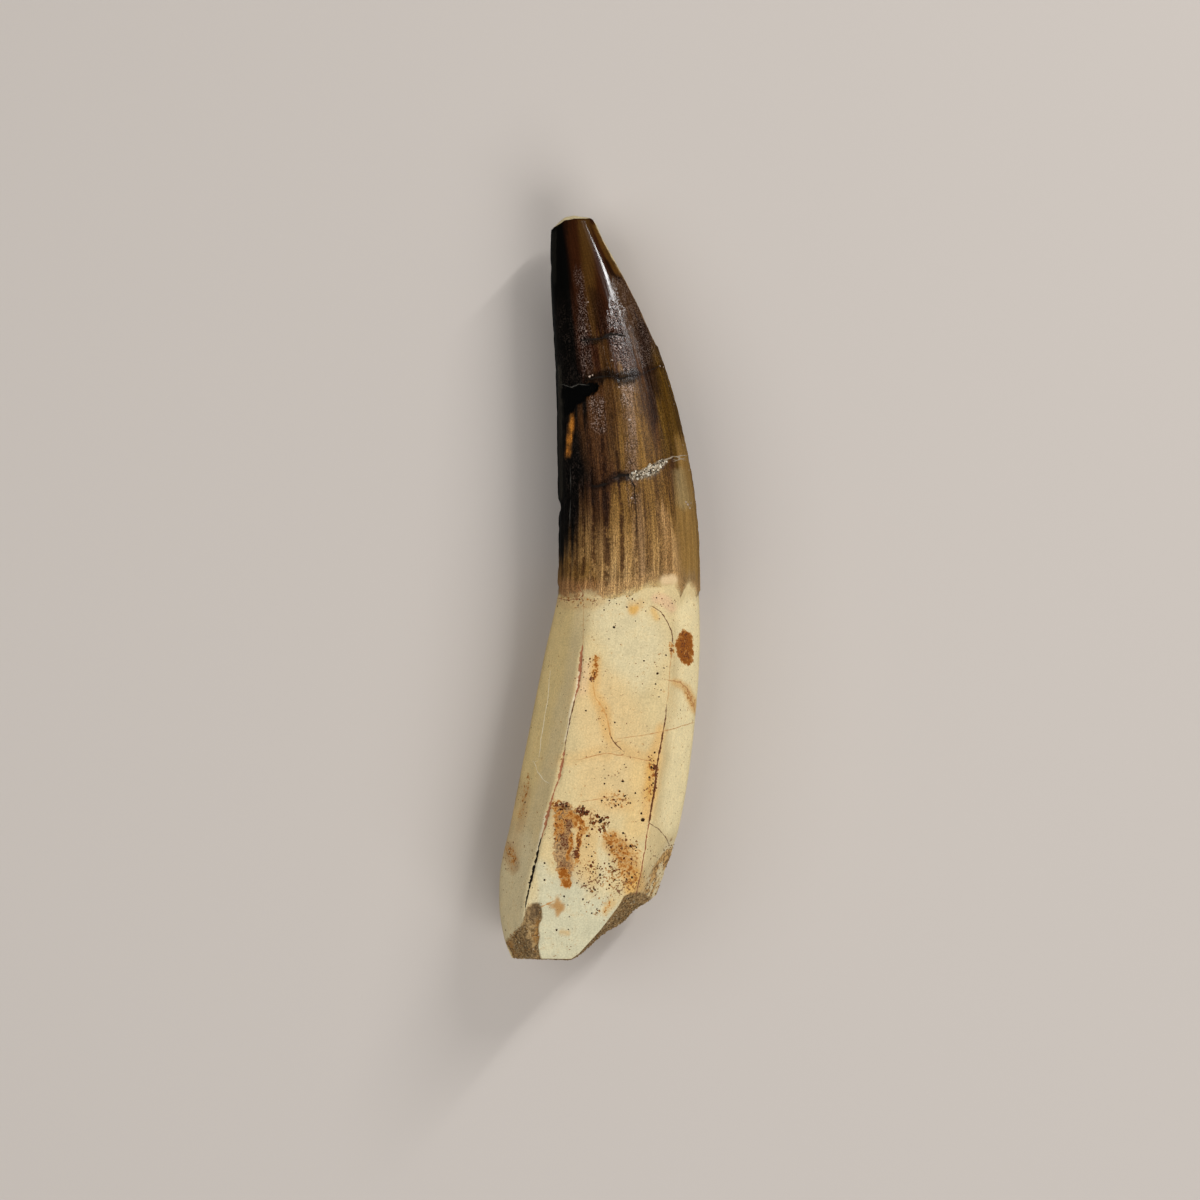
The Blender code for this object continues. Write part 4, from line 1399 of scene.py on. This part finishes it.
def finish_bits(name, roughness, shine, darkest, lightest):
    """Mineral bits: their own tints, clouded, with a little relief."""
    wiring = Wiring(name)
    inputs = wiring.shader.inputs
    cloud = wiring.noise(wiring.place(), 5200.0, 3.0)
    light = wiring.rise(cloud, 0.3, 0.7, darkest, lightest)
    bump = wiring.add("ShaderNodeBump", {"Strength": 0.5, "Distance": 0.00003, "Height": cloud})
    wiring.set(inputs["Base Color"], wiring.tint(wiring.tells("tint", "Color"), light))
    wiring.set(inputs["Roughness"], wiring.rise(cloud, 0.3, 0.7, roughness, roughness + 0.2))
    wiring.set(inputs["Normal"], bump)
    inputs["Specular IOR Level"].default_value = shine
    return wiring.material


sand_grains.data.materials.append(finish_bits("quartz_sand", 0.35, 0.3, 0.7, 1.25))
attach(sand_grains, "root")

# Mineral specks and painted glints
# Iron and manganese grew on the dentine as spots a few tenths of a millimetre wide: flat black,
# dark red and orange blisters, alone on the root and crowded round its stains.
SPECK_BLACK = (0.04, 0.019, 0.009)
SPECK_DARK_RED = (0.15, 0.042, 0.012)
SPECK_BROWN = (0.27, 0.13, 0.045)
SPECK_ORANGE = (0.42, 0.19, 0.045)
# Pale tint for real chips on the enamel and for specks that are painted glints.
PALE_FLECK_AND_GLINT = (0.46, 0.35, 0.28)
# Single spots: x, y, radius, in pixels of the photograph.
SINGLE_SPECKS = (
    (614.3, 627.3, 1.4), (657.6, 673.5, 1.3), (586, 710.8, 1), (644, 660.8, 0.9), (666, 655, 0.9),
    (599.8, 752, 0.9), (614.9, 722.4, 0.9), (654.7, 752.5, 1.1), (651.3, 767.3, 1.5), (649.3, 777.3, 1.1),
    (623, 781.3, 1.3), (619.6, 791.4, 1.1), (624.5, 796, 1), (635.3, 793, 1), (630.3, 803, 0.9),
    (618.5, 804.8, 1), (611.8, 807.8, 0.9), (641.3, 813.5, 1.2), (643, 820, 2), (623, 833, 1.2),
    (630.4, 846, 1.5), (636.4, 847.3, 1), (654.7, 855.8, 0.9), (600, 874.7, 1.4), (593, 872, 1),
    (587.3, 836, 1.3), (583, 899.3, 1.1), (597, 909, 0.9), (564, 896.5, 1), (544.5, 863, 1),
    (544.5, 880, 1.1), (556.5, 930, 1.1), (568.4, 929.4, 0.8), (505.7, 930, 1.1), (525, 802.4, 1.1),
    (609.4, 600.4, 0.9), (616.5, 603.6, 0.7), (604, 610, 0.8), (632.2, 599.3, 0.7), (643.6, 602.6, 0.7),
    (656.6, 597.7, 0.8), (557.4, 606.4, 1), (560, 613.4, 0.8), (608.9, 639, 0.7), (635.4, 621, 0.7),
    (645.7, 611, 0.7), (680.5, 710, 0.9), (661, 690, 0.7), (664, 668, 0.7), (659, 697, 0.7),
    (583, 806, 1.1), (640, 897, 0.9),
)
# Larger crumbs of rust beside the crust and the freckles: x, y, radius.
RUST_CRUMBS = (
    (593.2, 823, 1.6), (599.4, 829.6, 1.7), (588.7, 836.3, 1.2), (607.6, 817.4, 1.5), (602, 818, 1.3),
    (597.4, 815, 1.2), (592, 829.2, 1.3), (590.8, 866, 1.8), (593, 862.4, 1.3), (611, 847.4, 1.2),
    (624.3, 858.5, 1.2), (626, 840.2, 1.2), (596, 821, 1.1), (604.6, 823.8, 1.2), (631.6, 859, 1.4),
)
# Pale chips and crystals on the enamel, and pale specks that paint glints of the highlight: x, y, radius.
ENAMEL_FLECKS_AND_GLINTS = (
    (589.5, 376.5, 1.3), (592.5, 375, 1.1), (660, 366, 1.1), (629.5, 419.7, 1.5), (631.7, 497.7, 1.1),
    (688, 504.5, 1.7), (690, 508, 1.2), (686, 502, 1.1), (691, 503, 0.9), (619, 387, 1), (624, 395, 1.2),
    (626, 390, 1), (663.5, 367, 0.8), (669, 386, 0.7), (674, 404, 0.7), (683, 445, 0.7), (612, 360, 0.9),
    (588, 302, 0.7), (583, 320, 0.6), (586, 331, 0.7), (600, 259, 0.6), (689, 470, 0.7), (693, 492, 0.7),
)
# x, y, how wide and tall, how many, smallest and largest radius, odds of black, red, brown, orange.
SPECK_CROWDS = (
    (599, 823, 11, 9, 30, 0.7, 2.2, (0.15, 0.6, 0.2, 0.05)),
    (583, 812, 7, 5, 22, 0.7, 1.8, (0.2, 0.7, 0.1, 0)),
    (562, 806, 9, 4, 16, 0.6, 1.5, (0.5, 0.3, 0.2, 0)),
    (564, 832, 10, 22, 26, 0.5, 1.2, (0.2, 0.35, 0.35, 0.1)),
    (590, 846, 7, 14, 12, 0.5, 1.1, (0.4, 0.3, 0.25, 0.05)),
    (589, 875, 15, 18, 70, 0.4, 1.1, (0.25, 0.25, 0.35, 0.15)),
    (623, 846, 18, 14, 60, 0.5, 1.2, (0.12, 0.2, 0.4, 0.28)),
    (619, 875, 22, 18, 120, 0.4, 1.1, (0.15, 0.18, 0.42, 0.25)),
    (616, 802, 16, 9, 26, 0.5, 1.2, (0.45, 0.2, 0.25, 0.1)),
    (604, 905, 22, 14, 26, 0.5, 1, (0.35, 0.1, 0.35, 0.2)),
    (643, 880, 5, 12, 22, 0.5, 1.2, (0.5, 0.1, 0.4, 0)),
    (655, 858, 10, 14, 24, 0.5, 1.1, (0.3, 0.1, 0.4, 0.2)),
    (652, 776, 5, 24, 22, 0.5, 1.2, (0.35, 0.3, 0.15, 0.2)),
    (590, 666, 9, 12, 12, 0.5, 1.1, (0.3, 0.1, 0.5, 0.1)),
    (585, 680, 6, 26, 12, 0.4, 0.9, (0.4, 0.1, 0.5, 0)),
    (612, 720, 14, 30, 12, 0.4, 0.8, (0.2, 0.05, 0.5, 0.25)),
    (617, 776, 16, 14, 16, 0.4, 0.9, (0.4, 0.05, 0.45, 0.1)),
    (655, 660, 16, 34, 9, 0.4, 0.9, (0.6, 0, 0.4, 0)),
    (625, 660, 40, 60, 12, 0.3, 0.7, (0.4, 0, 0.5, 0.1)),
    (575, 601, 22, 5, 26, 0.4, 1, (0.25, 0.4, 0.3, 0.05)),
    (625, 602, 32, 7, 18, 0.4, 0.8, (0.3, 0.2, 0.3, 0.2)),
    (668, 604, 9, 8, 14, 0.4, 0.9, (0.1, 0.4, 0.4, 0.1)),
    (508, 855, 9, 16, 26, 0.4, 1.1, (0.2, 0.2, 0.5, 0.1)),
    (522, 805, 9, 30, 16, 0.4, 0.9, (0.3, 0.3, 0.4, 0)),
    (532, 870, 18, 50, 16, 0.3, 0.8, (0.5, 0, 0.5, 0)),
    (575, 920, 30, 30, 16, 0.3, 0.8, (0.4, 0, 0.5, 0.1)),
    (548, 720, 22, 90, 22, 0.3, 0.7, (0.4, 0.05, 0.5, 0.05)),
    (684, 690, 10, 60, 16, 0.3, 0.7, (0.4, 0.05, 0.4, 0.15)),
)
SPECK_SIDES = 8
SPECK_RISE = 0.03
SPECK_FOOT = 0.05
BACK_SPECKS = 190

surface = BVHTree.FromPolygons((vertices * MM).tolist(), polygon_points)


def seen_spot(x, y, side):
    """The surface point under a picture point, and which way it faces; from below for the back."""
    lens_height = CAMERA_PLACE[2] if side > 0 else 2 * MIDDLE_HEIGHT - CAMERA_PLACE[2]
    lens = Vector((CAMERA_PLACE[0], CAMERA_PLACE[1], lens_height)) * MM
    across, spot_down = place_at_height(x, y, MIDDLE_HEIGHT)
    towards = Vector((across, LENGTH / 2 - spot_down, MIDDLE_HEIGHT)) * MM - lens
    spot, facing, _, _ = surface.ray_cast(lens, towards.normalized())
    return spot, facing


speck_points, speck_faces, speck_tints = [], [], []
speck_chance = np.random.default_rng(301)


def add_speck(x, y, radius, tint, side=1):
    """One flat blister on the surface: a wavy rim, a raised middle and a foot below."""
    spot, facing = seen_spot(x, y, side)
    if spot is None:
        return
    spot = np.array(spot) / MM
    facing = np.array(facing)
    along = np.cross(facing, (0.3, 0.9, 0.2))
    along /= np.linalg.norm(along)
    beside = np.cross(facing, along)
    turns = np.arange(SPECK_SIDES) * 2 * math.pi / SPECK_SIDES
    reach = radius * PIXEL * speck_chance.uniform(0.72, 1.25, SPECK_SIDES)
    rim = spot + (np.cos(turns) * reach)[:, None] * along + (np.sin(turns) * reach)[:, None] * beside
    middle_point = spot + facing * SPECK_RISE
    foot = spot - facing * SPECK_FOOT
    points = np.vstack((rim, middle_point, foot))
    if np.any(points < low) or np.any(points > high):
        return
    base = len(speck_points) * (SPECK_SIDES + 2)
    for i in range(SPECK_SIDES):
        j = (i + 1) % SPECK_SIDES
        speck_faces.append((base + i, base + j, base + SPECK_SIDES))
        speck_faces.append((base + j, base + i, base + SPECK_SIDES + 1))
    speck_points.append(points)
    shade = np.array(tint) * speck_chance.uniform(0.8, 1.2)
    speck_tints.append(np.tile((*shade, 1.0), (SPECK_SIDES + 2, 1)))


for specks, tint in (
    (SINGLE_SPECKS, SPECK_BLACK),
    (RUST_CRUMBS, SPECK_DARK_RED),
    (ENAMEL_FLECKS_AND_GLINTS, PALE_FLECK_AND_GLINT),
):
    for x, y, radius in specks:
        add_speck(x, y, radius, tint)
speck_kinds = (SPECK_BLACK, SPECK_DARK_RED, SPECK_BROWN, SPECK_ORANGE)
for x, y, wide, tall, count, smallest, largest, odds in SPECK_CROWDS:
    for _ in range(count):
        reach, turn = speck_chance.uniform(0, 1) ** 0.6, speck_chance.uniform(0, 2 * math.pi)
        radius = smallest + (largest - smallest) * speck_chance.uniform(0, 1) ** 2.2
        kind = speck_kinds[speck_chance.choice(4, p=odds)]
        add_speck(x + wide * reach * math.cos(turn), y + tall * reach * math.sin(turn), radius, kind)
for _ in range(BACK_SPECKS):
    x, y = speck_chance.uniform(500, 700), speck_chance.uniform(612, 950)
    radius = 0.4 + 1.2 * speck_chance.uniform(0, 1) ** 3
    add_speck(x, y, radius, speck_kinds[speck_chance.choice(3)], -1)

mineral_specks_and_glints = joined_bits("mineral_specks_and_glints", speck_points, speck_faces, speck_tints)
mineral_specks_and_glints.data.shade_smooth()
mineral_specks_and_glints.data.materials.append(finish_bits("iron_specks_and_glints", 0.75, 0.05, 0.75, 1.2))
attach(mineral_specks_and_glints, "root")

# Floor
# A plain pale table top, wide enough to fill every view.
FLOOR_SIDE = 6.0
FLOOR_COLOUR = (0.52, 0.475, 0.437)
# Far from the tooth the floor glows: painted light that makes it as bright as the room behind it.
BACKDROP_GLOW = (0.45, 0.41, 0.38)
GLOW_STARTS_AND_FULL = (0.3, 1.7)
floor_corners = np.array([(-1, -1, 0), (1, -1, 0), (1, 1, 0), (-1, 1, 0)]) * FLOOR_SIDE / 2 / MM
floor = make_mesh("floor", floor_corners, [[0, 1, 2, 3]])
floor_finish = Wiring("pale_floor")
floor_inputs = floor_finish.shader.inputs
floor_inputs["Base Color"].default_value = (*FLOOR_COLOUR, 1.0)
floor_inputs["Roughness"].default_value = 0.9
floor_inputs["Specular IOR Level"].default_value = 0.2
floor_inputs["Emission Color"].default_value = (*BACKDROP_GLOW, 1.0)
far_off = floor_finish.add("ShaderNodeVectorMath", {0: floor_finish.place()}, 1, operation="LENGTH")
floor_finish.set(floor_inputs["Emission Strength"], floor_finish.rise(far_off, *GLOW_STARTS_AND_FULL))
floor.data.materials.append(floor_finish.material)
floor.visible_glossy = False

# Lights
# A narrow lamp at the upper right, a wide soft one at the lower right, a dimmer one at the
# left, and a pale room.
LAMPS = {
    # name: azimuth, tilt from straight up, distance, width, length, watts, shows in gloss
    "key": (49.0, 50.5, 0.62, 0.030, 0.32, 1.75, True),
    "soft": (-55.0, 42.0, 0.90, 0.60, 0.60, 4.6, False),
    "fill": (178.0, 34.0, 0.75, 0.50, 0.60, 2.0, False),
}
for name, (azimuth, tilt, distance, width, length, watts, glossy) in LAMPS.items():
    data = bpy.data.lights.new(name, "AREA")
    data.shape = "RECTANGLE"
    data.size = width
    data.size_y = length
    data.energy = watts
    lamp = bpy.data.objects.new(name, data)
    a, t = math.radians(azimuth), math.radians(tilt)
    away = Vector((math.cos(a) * math.sin(t), math.sin(a) * math.sin(t), math.cos(t)))
    lamp.location = away * distance
    lamp.rotation_euler = away.to_track_quat("Z", "Y").to_euler()
    lamp.visible_glossy = glossy
    bpy.context.scene.collection.objects.link(lamp)

world = bpy.data.worlds.new("room")
world.use_nodes = True
room = world.node_tree
ROOM_TINTS = {
    # what looks at the room: its colour there, and how bright
    "Is Diffuse Ray": ((1.0, 0.985, 0.96, 1.0), 0.22),
    "Is Camera Ray": ((0.56, 0.51, 0.47, 1.0), 1.0),
}
room.nodes["Background"].inputs["Color"].default_value = (1.0, 1.0, 0.95, 1.0)
room.nodes["Background"].inputs["Strength"].default_value = 0.03
ray = room.nodes.new("ShaderNodeLightPath")
seen = room.nodes["Background"].outputs[0]
for kind, (tint, strength) in ROOM_TINTS.items():
    glow = room.nodes.new("ShaderNodeBackground")
    glow.inputs["Color"].default_value = tint
    glow.inputs["Strength"].default_value = strength
    either = room.nodes.new("ShaderNodeMixShader")
    room.links.new(ray.outputs[kind], either.inputs[0])
    room.links.new(seen, either.inputs[1])
    room.links.new(glow.outputs[0], either.inputs[2])
    seen = either.outputs[0]
room.links.new(seen, room.nodes["World Output"].inputs[0])
bpy.context.scene.world = world
